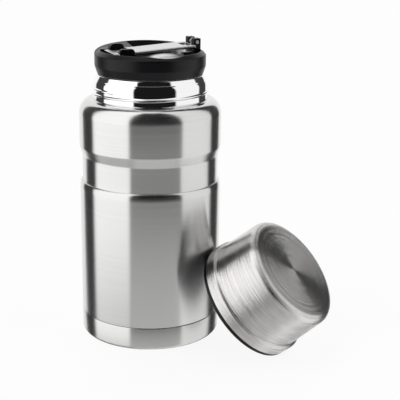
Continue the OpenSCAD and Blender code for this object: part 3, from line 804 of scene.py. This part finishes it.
def spoon_facts(scene):
    """Places along the spoon, measured from the jar's axis."""
    s, facts = scene.jar_spoon, stopper_facts(scene)
    recess_r = facts["recess_r"]
    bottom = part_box("spoon_bowl")[0].z
    pin_z = bottom + s.bowl_d + s.pin_over_bowl
    block_u = recess_r - s.free_gap
    pin_u = block_u - s.knuckle_r
    front_u = pin_u - s.knuckle_r
    tip_u = -(math.sqrt(recess_r ** 2 - (s.handle_w / 2) ** 2) - s.tip_gap)
    lug_u = tip_u + s.bar_l + s.notch_gap
    lug_to = lug_u + scene.jar_stopper.lug_l
    bowl_to = front_u - s.bowl_to_block
    bowl_from = lug_to + s.bowl_gap
    end_u = front_u - s.end_gap
    return {"bottom": bottom, "pin_z": pin_z, "block_u": block_u, "pin_u": pin_u,
            "front_u": front_u, "tip_u": tip_u, "lug_u": lug_u, "lug_to": lug_to,
            "bowl_from": bowl_from, "bowl_to": bowl_to, "end_u": end_u,
            "window_to": end_u - s.window_edge, "tang_half": s.block_w / 2 - s.tang_margin,
            "tang_z": bottom + s.tang_rise * s.bowl_d,
            "turned": Matrix.Rotation(s.bearing, 4, "Z")}


def cup_place(scene):
    """Matrix that leans the cup on the body with its rounded rim on the surface."""
    c = scene.jar_cup
    body_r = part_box("outer_shell")[1].x
    rim_r = c.ring_in_r + c.ring_wall + c.seat_gap + c.wall - c.rim_inset - c.rim_round
    sine, cosine = math.sin(c.lean), math.cos(c.lean)
    out = body_r + c.lean_gap + c.rim_round + rim_r * sine - c.rim_round * cosine
    up = c.rim_round + rim_r * cosine - c.rim_round * sine
    return (Matrix.Rotation(c.bearing, 4, "Z") @ Matrix.Translation((out, 0, up))
            @ Matrix.Rotation(math.pi / 2 - c.lean, 4, "Y"))


# ---- Pieces of the jar ----

class JAR_OT_body(bpy.types.Operator):
    """Satin body wall from the seam to the neck, and the base cup under the seam"""

    bl_idname = "jar.body"
    bl_label = "Body and base"

    def execute(self, context):
        s, finish = context.scene.jar_body, context.scene.jar_finish
        low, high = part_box("outer_shell")
        radius, neck_r = high.x, context.scene.jar_neck.radius
        waist = radius - s.waist_depth
        base_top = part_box("base_cup")[1].z
        lower_top = base_top + s.lower_h
        waist_from = lower_top + s.lower_round_h
        band_from = waist_from + s.waist_h + s.flare_h
        band_to = band_from + s.band_h
        shoulder_w = radius - neck_r - s.shoulder_flat

        def wall_line(t):
            return ([(radius - t, low.z)]
                    + arc((waist - t, lower_top), s.waist_depth, s.lower_round_h, 0, 90)
                    + [(waist - t, waist_from + s.waist_h, s.soft_corner),
                       (radius - t, band_from, s.soft_corner)]
                    + arc((radius - shoulder_w, band_to), shoulder_w - t,
                          high.z - band_to - t, 0, 90, 24))

        outer, inner = wall_line(0), wall_line(s.wall)
        outer += arc((neck_r + s.neck_fillet, high.z + s.neck_fillet), s.neck_fillet,
                     s.neck_fillet, 270, 180, 8)
        inner += [(neck_r, high.z - s.wall)]
        outer[0] = (*outer[0], s.edge_round)
        inner[0] = (*inner[0], s.edge_round)
        mesh = lathe("body_wall", rounded(outer + inner[::-1]), 256)
        piece_from(mesh, "body_wall", "jar", satin_steel(finish), ["outer_shell"])

        inside = radius - s.wall
        ring_out, ring_in = radius - s.foot_round, radius - s.foot_round - s.foot_w
        inner_round, bend = s.foot_round - s.wall, s.wall / 2
        rise_round, ring_round, bend_round = 1 * MM, 0.8 * MM, 0.5 * MM
        line = rounded(
            [(0, s.foot_rise), (ring_in - s.foot_rise, s.foot_rise, rise_round),
             (ring_in, 0, ring_round)]
            + arc((ring_out, s.foot_round), s.foot_round, s.foot_round, -90, 0, 12)
            + [(radius, base_top, s.edge_round), (inside, base_top, s.edge_round)]
            + arc((ring_out, s.foot_round), inner_round, inner_round, 0, -90, 8)
            + [(ring_in + bend, s.wall, bend_round),
               (ring_in - s.foot_rise + bend, s.foot_rise + s.wall, bend_round),
               (0, s.foot_rise + s.wall)])
        piece_from(lathe("base_wall", line, 256), "base_wall", "jar",
                   satin_steel(finish), ["base_cup"])
        return {"FINISHED"}


class JAR_OT_neck(bpy.types.Operator):
    """Polished neck with its crease, rounded lip and rolled thread"""

    bl_idname = "jar.neck"
    bl_label = "Neck"

    def execute(self, context):
        s, finish = context.scene.jar_neck, context.scene.jar_finish
        wall = context.scene.jar_body.wall
        low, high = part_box("neck_collar")
        foot_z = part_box("outer_shell")[1].z
        lip = high.z
        radius = s.radius
        lip_r = radius - s.taper
        crease = lip - s.crease_drop
        mouth_r = lip_r - wall - s.mouth_gap - wall
        straight_to = foot_z + s.pitch
        crease_round, thread_step = 0.3 * MM, 0.25 * MM
        threaded = (radius - 0.7 * MM, radius + 1 * MM)

        def neck_line(t):
            shares = [k / 20 for k in range(21)]
            drawn_in = [(radius - t - s.swell * q ** s.bend,
                         straight_to + (crease - straight_to) * q) for q in shares]
            upright = radius - t - s.swell
            return ([(radius - t, low.z)] + drawn_in
                    + [(upright, crease + s.crease_h / 3),
                       (upright, crease + s.crease_h, crease_round)])

        outer = rounded(neck_line(0), 6)
        outer += arc((lip_r - s.lip_w, lip - s.lip_h), s.lip_w, s.lip_h, 30, 90, 10)
        swell = ridge(s.thread_from, foot_z + s.thread_rise, s.pitch, s.turns, s.thread_d,
                      s.ridge_half, threaded, fade=0.5)
        line = (fine(outer, thread_step)
                + [(mouth_r, lip), (mouth_r, lip - wall), (lip_r - wall, lip - wall)]
                + rounded(neck_line(wall))[::-1])
        mesh = lathe("neck", line, 300, swell)
        piece_from(mesh, "neck", "jar", mirror_steel(finish), ["neck_collar"])
        return {"FINISHED"}


class JAR_OT_vessel(bpy.types.Operator):
    """Inner vessel with the two ridges in its mouth, and the steel and vacuum parts round it"""

    bl_idname = "jar.vessel"
    bl_label = "Vessel"

    def execute(self, context):
        s, finish = context.scene.jar_neck, context.scene.jar_finish
        wall = context.scene.jar_body.wall
        low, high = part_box("inner_vessel")
        outer_r = high.x
        mouth_r = s.radius - s.taper - 2 * wall - s.mouth_gap
        mouth_from = high.z - s.mouth_h
        side_to = mouth_from - s.vessel_shoulder_h
        ridge_step, ridge_half = 0.4 * MM, 1.2 * MM
        inside = fine([(mouth_r, high.z), (mouth_r, mouth_from)], ridge_step)
        span = outer_r - wall - mouth_r
        line = ([(outer_r - wall, low.z), (outer_r, low.z)]
                + arc((mouth_r + wall, side_to), span, s.vessel_shoulder_h + wall, 0, 90, 16)
                + [(mouth_r + wall, high.z)] + inside
                + arc((mouth_r, side_to), span, s.vessel_shoulder_h, 90, 0, 16)[1:])
        swell = ridge(0, mouth_from + s.mouth_thread_rise, s.mouth_lead, s.mouth_turns,
                      -s.mouth_ridge_d, ridge_half, near(mouth_r), 2)
        piece_from(lathe("vessel", line, 240, swell), "vessel", "jar",
                   drawn_steel(finish), ["inner_vessel"])
        for node in ("vessel_floor", "shell_pan", "getter_cage"):
            coat(node, drawn_steel(finish))
        coat("heat_foil", crinkled_foil(finish))
        coat("getter", sintered_metal(finish))
        coat("vacuum_seal", fused_bead(finish))
        return {"FINISHED"}


class JAR_OT_stopper_head(bpy.types.Operator):
    """Stopper head: rim, raised back, finger dip, recess with its shelf, and two lugs"""

    bl_idname = "jar.stopper_head"
    bl_label = "Stopper head"

    def execute(self, context):
        scene = context.scene
        s, spoon, finish = scene.jar_stopper, scene.jar_spoon, scene.jar_finish
        facts, along = stopper_facts(scene), spoon_facts(scene)
        top, rim_z, radius = facts["top"], facts["rim_z"], facts["radius"]
        skirt_round, edge_round, plug_gap = 1.5 * MM, 0.6 * MM, 0.2 * MM
        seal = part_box("seal_ring")
        seat_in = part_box("stopper_foam")[1].x + s.plug_wall + plug_gap
        skirt_in = seal[1].x + spoon.free_gap
        foot, floor = facts["skirt_z"], facts["recess_z"]
        deck_z = floor - s.deck_t
        low_line = rounded([(0, deck_z), (seat_in, deck_z), (seat_in, seal[1].z),
                            (skirt_in, seal[1].z), (skirt_in, foot), (radius - s.skirt_in, foot),
                            (radius, foot + s.skirt_h, skirt_round),
                            (radius, rim_z - s.edge_h, edge_round),
                            (radius - s.edge_w, rim_z), (0, rim_z)])
        inset = radius - HAIR
        high_line = ([(0, floor - s.deck_t / 2), (inset, floor - s.deck_t / 2)]
                     + arc((inset - s.top_round, top - s.top_round), s.top_round, s.top_round,
                           0, 90, 16) + [(0, top)])
        below = block((-2 * radius, -4 * radius, -radius), (2 * radius, 4 * radius, 0))
        below.transform(Matrix.Rotation(s.back_turn, 4, "Z")
                        @ Matrix.Translation((0, s.back_from, rim_z))
                        @ Matrix.Rotation(s.back_slope, 4, "X"))
        raised = combined("raised", lathe("raised", high_line, 256), [("INTERSECT", below)])
        deep = s.recess_d + OVER
        turned = along["turned"]
        bowl_gap, handle_gap, shelf_to = 1 * MM, 0.6 * MM, -6 * MM
        bowl_u = (along["bowl_from"] + along["bowl_to"]) / 2
        bowl_r = (along["bowl_to"] - along["bowl_from"]) / 2 + bowl_gap
        shelf = block((-radius, spoon.handle_w / 2 + handle_gap, floor - OVER),
                      (shelf_to, radius, floor + deep + OVER))
        round_bowl = drum(bowl_r, deep + 4 * OVER,
                          Matrix.Translation((bowl_u, 0, floor - 2 * OVER)))
        shelf = combined("shelf", shelf, [("DIFFERENCE", round_bowl)])
        shelf.transform(turned)
        hollow = combined("hollow", drum(facts["recess_r"], deep,
                                         Matrix.Translation((0, 0, floor)), 224),
                          [("DIFFERENCE", shelf)])
        half = spoon.block_w / 2 + spoon.free_gap
        pocket = block((0, -half, floor - HAIR),
                       (along["block_u"] + spoon.free_gap + HAIR, half, top + 2 * OVER))
        dip_r = (s.dip_half ** 2 + s.dip_d ** 2) / (2 * s.dip_d)
        dip_at = Matrix.Translation((0, -radius - OVER, rim_z - s.dip_d + dip_r))
        dip = drum(dip_r, radius - facts["recess_r"] + 6 * OVER, dip_at @ ALONG_Y, 256)
        changes = [("UNION", raised), ("DIFFERENCE", hollow)]
        for tool in (pocket, dip):
            tool.transform(turned)
            changes.append(("DIFFERENCE", tool))
        edge = spoon.handle_w / 2
        lug_mid = (along["lug_u"] + along["lug_to"]) / 2
        handle_z = (along["pin_z"] - spoon.pin_r - spoon.pin_fit
                    - (along["pin_u"] - lug_mid) * math.tan(spoon.droop))
        for v0, v1, height, corner in (
                (edge - s.back_lug_in, edge + s.lug_t, handle_z + s.back_lug_h, s.back_lug_round),
                (-edge, s.lug_t - edge, handle_z + s.front_lug_h, s.lug_round)):
            root = floor - s.deck_t / 3
            lug = slab([(along["lug_u"], root), (along["lug_to"], root),
                        (along["lug_to"], height, corner),
                        (along["lug_u"], height, corner)], v0, v1)
            lug.transform(turned)
            changes.append(("UNION", lug))
        mesh = combined("stopper_head", lathe("head", low_line, 256), changes)
        piece_from(softened("stopper_head", mesh, s.softness, 3), "stopper_head", "stopper",
                   moulded_black(finish), ["stopper_cap"])
        return {"FINISHED"}


class JAR_OT_stopper_plug(bpy.types.Operator):
    """Threaded plug, the foam in it and the seal ring"""

    bl_idname = "jar.stopper_plug"
    bl_label = "Stopper plug"

    def execute(self, context):
        scene = context.scene
        s, neck, finish = scene.jar_stopper, scene.jar_neck, scene.jar_finish
        low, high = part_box("stopper_plug")
        foam_gap, ridge_step = 0.1 * MM, 0.4 * MM
        mouth_ridge_w, plug_ridge_w = 2.4, 1.4
        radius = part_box("stopper_foam")[1].x + s.plug_wall + foam_gap
        corner, wall = s.plug_corner, s.plug_wall
        mouth_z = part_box("inner_vessel")[1].z - neck.mouth_h + neck.mouth_thread_rise
        first_z = mouth_z - (mouth_ridge_w + plug_ridge_w) / 2 * MM - scene.jar_spoon.free_gap
        swell = ridge(0, first_z, neck.mouth_lead, s.plug_turns, high.x - radius,
                      s.ridge_half, near(radius), 2)
        middle = (radius - corner, low.z + corner)
        line = ([(0, low.z)] + arc(middle, corner, corner, -90, 0, 8)
                + fine([(radius, low.z + corner), (radius, high.z)], ridge_step)[1:]
                + [(radius - wall, high.z)]
                + arc(middle, corner - wall, corner - wall, 0, -90, 8)
                + [(0, low.z + wall)])
        piece_from(lathe("plug", line, 240, swell), "plug", "stopper",
                   moulded_black(finish), ["stopper_plug"])
        low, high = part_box("seal_ring")
        seal_w, seal_round = 2.5 * MM, 0.7 * MM
        inner = high.x - seal_w
        line = rounded([(inner, low.z, seal_round), (high.x, low.z, seal_round),
                        (high.x, high.z, seal_round), (inner, high.z, seal_round)])
        piece_from(lathe("seal", line), "seal", "seal", soft_silicone(finish),
                   ["seal_ring"])
        coat("stopper_foam", cell_foam(finish))
        return {"FINISHED"}


class JAR_OT_spoon_bowl(bpy.types.Operator):
    """Bowl of the spoon, hollow side down, and the tang that joins it to the hinge"""

    bl_idname = "jar.spoon_bowl"
    bl_label = "Spoon bowl"

    def execute(self, context):
        s, finish = context.scene.jar_spoon, context.scene.jar_finish
        along = spoon_facts(context.scene)
        half = (along["bowl_to"] - along["bowl_from"]) / 2
        middle = (along["bowl_to"] + along["bowl_from"]) / 2
        t, power, steps, rim_round = s.steel_t, 2.4, 40, 0.25 * MM

        def dome(radius, height):
            shares = [math.sin(math.pi / 2 * i / steps) for i in range(steps + 1)]
            return [(radius * q, height * max(0, 1 - q ** power) ** (1 / power)) for q in shares]

        outer, inner = dome(half, s.bowl_d), dome(half - t, s.bowl_d - t)
        outer[-1], inner[-1] = (*outer[-1], rim_round), (*inner[-1], rim_round)
        mesh = lathe("bowl", rounded(outer + inner[::-1]), 224)
        slim = Matrix.Diagonal((1, 1 - s.bowl_slim / (2 * half), 1, 1))
        mesh.transform(Matrix.Translation((middle, 0, along["bottom"])) @ slim)
        mesh.transform(along["turned"])
        piece_from(mesh, "bowl", "spoon", bright_steel(finish), ["spoon_bowl"])
        tang_from = along["bowl_to"] - s.tang_over
        tang_to = along["front_u"] + s.tang_in
        reach = [tang_from, tang_from + s.support, tang_to - s.support, tang_to]
        across = [(side * (along["tang_half"] - e), 0)
                  for side, e in ((-1, 0), (-1, s.support), (1, s.support), (1, 0))]
        mesh = pressed_sheet("tang", reach, across, lambda x, y: True, t, 3)
        mesh.transform(along["turned"] @ Matrix.Translation((0, 0, along["tang_z"] + t / 2)))
        piece_from(mesh, "tang", "spoon", bright_steel(finish))
        return {"FINISHED"}


class JAR_OT_spoon_handle(bpy.types.Operator):
    """Handle: pressed strip with turned-down edges, notches for the lugs, window and curl"""

    bl_idname = "jar.spoon_handle"
    bl_label = "Spoon handle"

    def execute(self, context):
        s, finish = context.scene.jar_spoon, context.scene.jar_finish
        along = spoon_facts(context.scene)
        pin_u, t, half = along["pin_u"], s.steel_t, s.handle_w / 2
        tip, end = along["tip_u"] - pin_u, along["end_u"] - pin_u
        notch = (along["lug_u"] - s.notch_gap - pin_u, along["lug_to"] + s.notch_gap - pin_u)
        window_to = along["window_to"] - pin_u
        window = (window_to - s.window_l, window_to)
        neck, opening, curl = s.neck_w / 2, s.window_w / 2, s.curl_w / 2
        side, bend, curl_round = half - t / 2, 0.2 * MM, 0.2 * MM
        fold = [(side, -s.lip_h + t / 2), (side, -s.lip_h + t / 2 + s.support),
                (side, -t), (side - bend, -bend), (side - t, 0), (side - 2 * t, 0)]
        flat = [(y, 0) for y in (opening + s.support, opening, neck, neck - s.support,
                                 curl + s.support, curl, curl - s.support)]
        right = fold + flat
        across = [(-y, z) for y, z in right] + right[::-1]

        def kept(x, y):
            y = abs(y)
            if notch[0] < x < notch[1]:
                return y < neck
            if window[0] < x < window[1]:
                return y > opening
            if x > end:
                return y < curl
            return True

        stations = supported([tip, *notch, *window, end, 0], s.support)
        mesh = pressed_sheet("handle", stations, across, kept, t, 2)
        lying = (along["turned"] @ Matrix.Translation((pin_u, 0, along["pin_z"]))
                 @ Matrix.Rotation(-s.droop, 4, "Y"))
        inner = s.pin_r + s.pin_fit
        mesh.transform(lying @ Matrix.Translation((0, 0, -inner - t / 2)))
        piece_from(mesh, "handle", "handle", brushed_strip(finish),
                   ["spoon_handle"])
        line = rounded([(inner, -curl), (inner + t, -curl, curl_round),
                        (inner + t, curl, curl_round), (inner, curl)])
        mesh = lathe("curl", line, 96)
        mesh.transform(lying @ Matrix.Rotation(math.pi / 2, 4, "X"))
        piece_from(mesh, "curl", "handle", brushed_strip(finish))
        return {"FINISHED"}


class JAR_OT_spoon_hinge(bpy.types.Operator):
    """Black hinge block with its slot, and the steel pin"""

    bl_idname = "jar.spoon_hinge"
    bl_label = "Spoon hinge"

    def execute(self, context):
        s, finish = context.scene.jar_spoon, context.scene.jar_finish
        along = spoon_facts(context.scene)
        pin_u, pin_z, low = along["pin_u"], along["pin_z"], along["bottom"]
        half = s.block_w / 2

        curl_r = s.pin_r + s.pin_fit + s.steel_t
        slot, slot_l, voxel = s.curl_w / 2 + s.free_gap, 7 * MM, 0.17 * MM
        slot_z = pin_z - math.hypot(pin_u - along["end_u"], curl_r) - s.free_gap
        front = along["front_u"] - OVER
        gap = context.scene.jar_cup.seat_gap
        tang, tang_z = along["tang_half"] + gap, along["tang_z"]
        bore_l = s.block_w + 2 * OVER
        bore_at = Matrix.Translation((pin_u, -bore_l / 2, pin_z)) @ ALONG_Y
        whole = block((along["front_u"], -half, low),
                      (along["block_u"], half, pin_z + s.knuckle_r))
        mesh = combined("hinge", whole, [
            ("DIFFERENCE", block((front, -slot, slot_z), (front + slot_l, slot, 2 * pin_z))),
            ("DIFFERENCE", drum(s.pin_r, bore_l, bore_at, 64)),
            ("DIFFERENCE", block((front, -tang, tang_z - gap),
                                 (along["front_u"] + s.tang_in + gap, tang,
                                  tang_z + s.steel_t + gap)))])
        mesh = softened("hinge_block", mesh, voxel, 2)
        mesh.transform(along["turned"])
        piece_from(mesh, "hinge", "spoon", moulded_black(finish),
                   ["hinge_block"])
        coat("hinge_pin", bright_steel(finish))
        return {"FINISHED"}


class JAR_OT_cup_steel(bpy.types.Operator):
    """Spun steel shell of the cup, with its flange, soft step and rounded end"""

    bl_idname = "jar.cup_steel"
    bl_label = "Cup steel"

    def execute(self, context):
        s, finish = context.scene.jar_cup, context.scene.jar_finish
        flange_r = s.ring_in_r + s.ring_wall + s.seat_gap + s.wall
        end_r, round_z = s.side_r - s.draft, s.height - s.round_h
        t, rim_edge, step_h = s.wall, 0.2 * MM, 0.6 * MM
        step_foot, step_inside = 0.8 * MM, 0.3 * MM

        def end_line(inset):
            return arc((end_r - s.round_w, round_z), s.round_w - inset, s.round_h - inset,
                       0, 90, 20)

        line = rounded(
            [(flange_r - t, s.ring_h), (flange_r, s.ring_h, rim_edge),
             (flange_r, s.flange_h, s.step_soft), (s.side_r, s.flange_h + step_h, step_foot)]
            + end_line(0) + [(0, s.height), (0, s.height - t)] + end_line(t)[::-1]
            + [(s.side_r - t, s.flange_h - t, step_inside), (flange_r - t, s.flange_h - t)], 8)
        place = cup_place(context.scene)
        mesh = lathe("cup_wall", line, 256)
        mesh.transform(place)
        piece_from(mesh, "cup_wall", "cup", spun_steel(finish, place),
                   ["cup_shell"])
        return {"FINISHED"}


class JAR_OT_cup_inside(bpy.types.Operator):
    """Black liner of the cup, and the black ring with the thread that grips the neck"""

    bl_idname = "jar.cup_inside"
    bl_label = "Cup inside"

    def execute(self, context):
        s, neck, finish = context.scene.jar_cup, context.scene.jar_neck, context.scene.jar_finish
        flange_r = s.ring_in_r + s.ring_wall + s.seat_gap + s.wall
        place = cup_place(context.scene)
        outer, thick = s.wall + 2 * s.seat_gap, s.liner_wall
        foot = s.flange_h - s.wall - s.seat_gap
        end_r = s.side_r - s.draft
        round_z = s.height - s.round_h - s.end_gap + 2 * s.seat_gap

        def end_line(inset):
            return (arc((end_r - s.round_w, round_z), s.round_w - inset, s.round_h - inset,
                        0, 90, 14)
                    + [(0, round_z + s.round_h - inset)])

        seat = flange_r - s.wall - s.seat_gap
        line = ([(s.side_r - outer - thick, foot - thick), (seat, foot - thick), (seat, foot),
                 (s.side_r - outer, foot)]
                + end_line(outer) + end_line(outer + thick)[::-1])
        mesh = lathe("cup_liner_wall", line, 224)
        mesh.transform(place)
        piece_from(mesh, "cup_liner_wall", "cup", moulded_black(finish),
                   ["cup_liner"])

        rim_r, sleeve_r = flange_r - s.rim_inset, s.ring_in_r + s.ring_wall
        sleeve_to = foot - s.seat_gap - thick
        thread_step, thread_z, thread_turns, ridge_half = 0.3 * MM, 2.6 * MM, 1.1, 0.9 * MM
        inside = fine([(s.ring_in_r, sleeve_to), (s.ring_in_r, s.rim_round)], thread_step)
        line = (inside + [(s.ring_in_r + s.rim_round / 2, 0)]
                + arc((rim_r - s.rim_round, s.rim_round), s.rim_round, s.rim_round, -90, 0, 8)
                + [(rim_r, s.ring_h), (sleeve_r, s.ring_h), (sleeve_r, sleeve_to)])
        swell = ridge(0, thread_z, neck.pitch, thread_turns, -neck.thread_d, ridge_half,
                      near(s.ring_in_r))
        mesh = lathe("cup_ring", line, 240, swell)
        mesh.transform(place)
        piece_from(mesh, "cup_ring", "cup", moulded_black(finish),
                   ["cup_thread_ring"])
        return {"FINISHED"}


class JAR_OT_studio(bpy.types.Operator):
    """Camera, pale floor and the soft studio round the jar"""

    bl_idname = "jar.studio"
    bl_label = "Studio"

    def execute(self, context):
        s = context.scene.jar_studio
        self.camera(context.scene, s)
        self.floor(context.scene, s)
        self.world(context.scene, s)
        context.scene.view_settings.view_transform = "Standard"
        return {"FINISHED"}

    def camera(self, scene, s):
        """Camera turned right by yaw, down by pitch and then rolled."""
        ahead = Vector((math.sin(s.yaw) * math.cos(s.pitch), math.cos(s.yaw) * math.cos(s.pitch),
                        -math.sin(s.pitch)))
        level_right = Vector((math.cos(s.yaw), -math.sin(s.yaw), 0))
        level_up = level_right.cross(ahead)
        right = level_right * math.cos(s.roll) + level_up * math.sin(s.roll)
        up = level_up * math.cos(s.roll) - level_right * math.sin(s.roll)
        data = bpy.data.cameras.new("camera")
        data.lens, data.sensor_width = s.lens, 36
        camera = bpy.data.objects.new("camera", data)
        scene.collection.objects.link(camera)
        turned = Matrix((right, up, -ahead)).transposed().to_4x4()
        camera.matrix_world = Matrix.Translation(s.camera_at) @ turned
        scene.camera = camera

    def floor(self, scene, s):
        """Pale floor that shows white to the camera and keeps a faint shadow."""
        bm = bmesh.new()
        bmesh.ops.create_grid(bm, x_segments=1, y_segments=1, size=s.floor_size / 2)
        floor = bpy.data.objects.new("floor", shaded(bm, "floor"))
        scene.collection.objects.link(floor)
        floor.location.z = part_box("base_cup")[0].z
        made = bpy.data.materials.new("pale_floor")
        made.use_nodes = True
        board = Board(made.node_tree)
        rays = board.node("ShaderNodeLightPath", output="Is Camera Ray")
        tone = (s.floor_tone,) * 3
        pale = board.node("ShaderNodeBsdfDiffuse", {}, {"Color": rgba(tone)})
        glow = board.node("ShaderNodeEmission", {},
                          {"Color": (1, 1, 1, 1), "Strength": s.glow_level})
        both = board.node("ShaderNodeMixShader", {}, {0: rays * s.floor_glow, 1: pale, 2: glow})
        board.node("ShaderNodeOutputMaterial", {}, {"Surface": both})
        floor.data.materials.append(made)
        floor.visible_glossy = False

    def world(self, scene, s):
        """Soft panels left and right, a dark front and a white back, told by direction.

        Each pair of heights, in degrees, is where one level passes into the next.
        """
        left_foot, front_foot, front_head, ceiling = (-34, -22), (-20, -13), (70, 80), (76, 86)
        world = bpy.data.worlds.new("studio")
        world.use_nodes = True
        scene.world = world
        board = Board(world.node_tree)
        x, y, z = board.axes(board.node("ShaderNodeTexCoord", output="Generated"))
        bearing = board.math("ARCTAN2", x, y * -1)
        height = board.math("ARCSINE", z)

        def from_edge(value, edge):
            return board.step(value, edge - s.edge, edge + s.edge)

        def above(low, high):
            return board.step(height, math.radians(low), math.radians(high))

        left = from_edge(bearing, s.left_from) * (1 - from_edge(bearing, s.left_to))
        right = from_edge(bearing, s.right_from) * (1 - from_edge(bearing, s.right_to))
        back = 1 - from_edge(bearing, s.back_left) * (1 - from_edge(bearing, s.back_right))
        front = from_edge(bearing, s.left_to) * (1 - from_edge(bearing, s.right_from))
        flags = 1 - (left + right + back + front)
        front_light = ((1 - above(*front_foot)) * s.front_low
                       + above(*front_head) * s.front_high + s.front_dark)
        left_light = above(*left_foot) * (s.left_level - s.low_level) + s.low_level
        ring = (left * left_light + right * s.right_level + back * s.back_level
                + front * front_light + flags * s.flag_level)
        overhead = above(*ceiling)
        studio = ring * (1 - overhead) + overhead * s.top_level
        rays = board.node("ShaderNodeLightPath", output="Is Camera Ray")
        strength = studio * (1 - rays) + rays
        light = board.node("ShaderNodeBackground", {},
                           {"Color": (1, 1, 1, 1), "Strength": strength})
        board.node("ShaderNodeOutputWorld", {}, {"Surface": light})


class JAR_PT_panel(bpy.types.Panel):
    """Lists the steps that dress the jar"""

    bl_idname = "JAR_PT_panel"
    bl_label = "Food jar"
    bl_space_type = "VIEW_3D"
    bl_region_type = "UI"
    bl_category = "Food Jar"

    def draw(self, context):
        for step in STEPS:
            self.layout.operator(step.bl_idname)


GROUPS = {
    "jar_body": JarBodySizes,
    "jar_neck": JarNeckSizes,
    "jar_stopper": JarStopperSizes,
    "jar_spoon": JarSpoonSizes,
    "jar_cup": JarCupSizes,
    "jar_finish": JarFinishes,
    "jar_studio": JarStudioSizes,
}
STEPS = [JAR_OT_body, JAR_OT_neck, JAR_OT_vessel, JAR_OT_stopper_head, JAR_OT_stopper_plug,
         JAR_OT_spoon_bowl, JAR_OT_spoon_handle, JAR_OT_spoon_hinge, JAR_OT_cup_steel,
         JAR_OT_cup_inside, JAR_OT_studio]


def register():
    for made in (*GROUPS.values(), *STEPS, JAR_PT_panel):
        bpy.utils.register_class(made)
    for name, group in GROUPS.items():
        setattr(bpy.types.Scene, name, bpy.props.PointerProperty(type=group))


def unregister():
    for name in GROUPS:
        delattr(bpy.types.Scene, name)
    for made in (JAR_PT_panel, *reversed(STEPS), *reversed(GROUPS.values())):
        bpy.utils.unregister_class(made)


def main():
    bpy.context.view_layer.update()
    register()
    for step in STEPS:
        group, name = step.bl_idname.split(".")
        getattr(getattr(bpy.ops, group), name)()


if __name__ == "__main__":
    main()
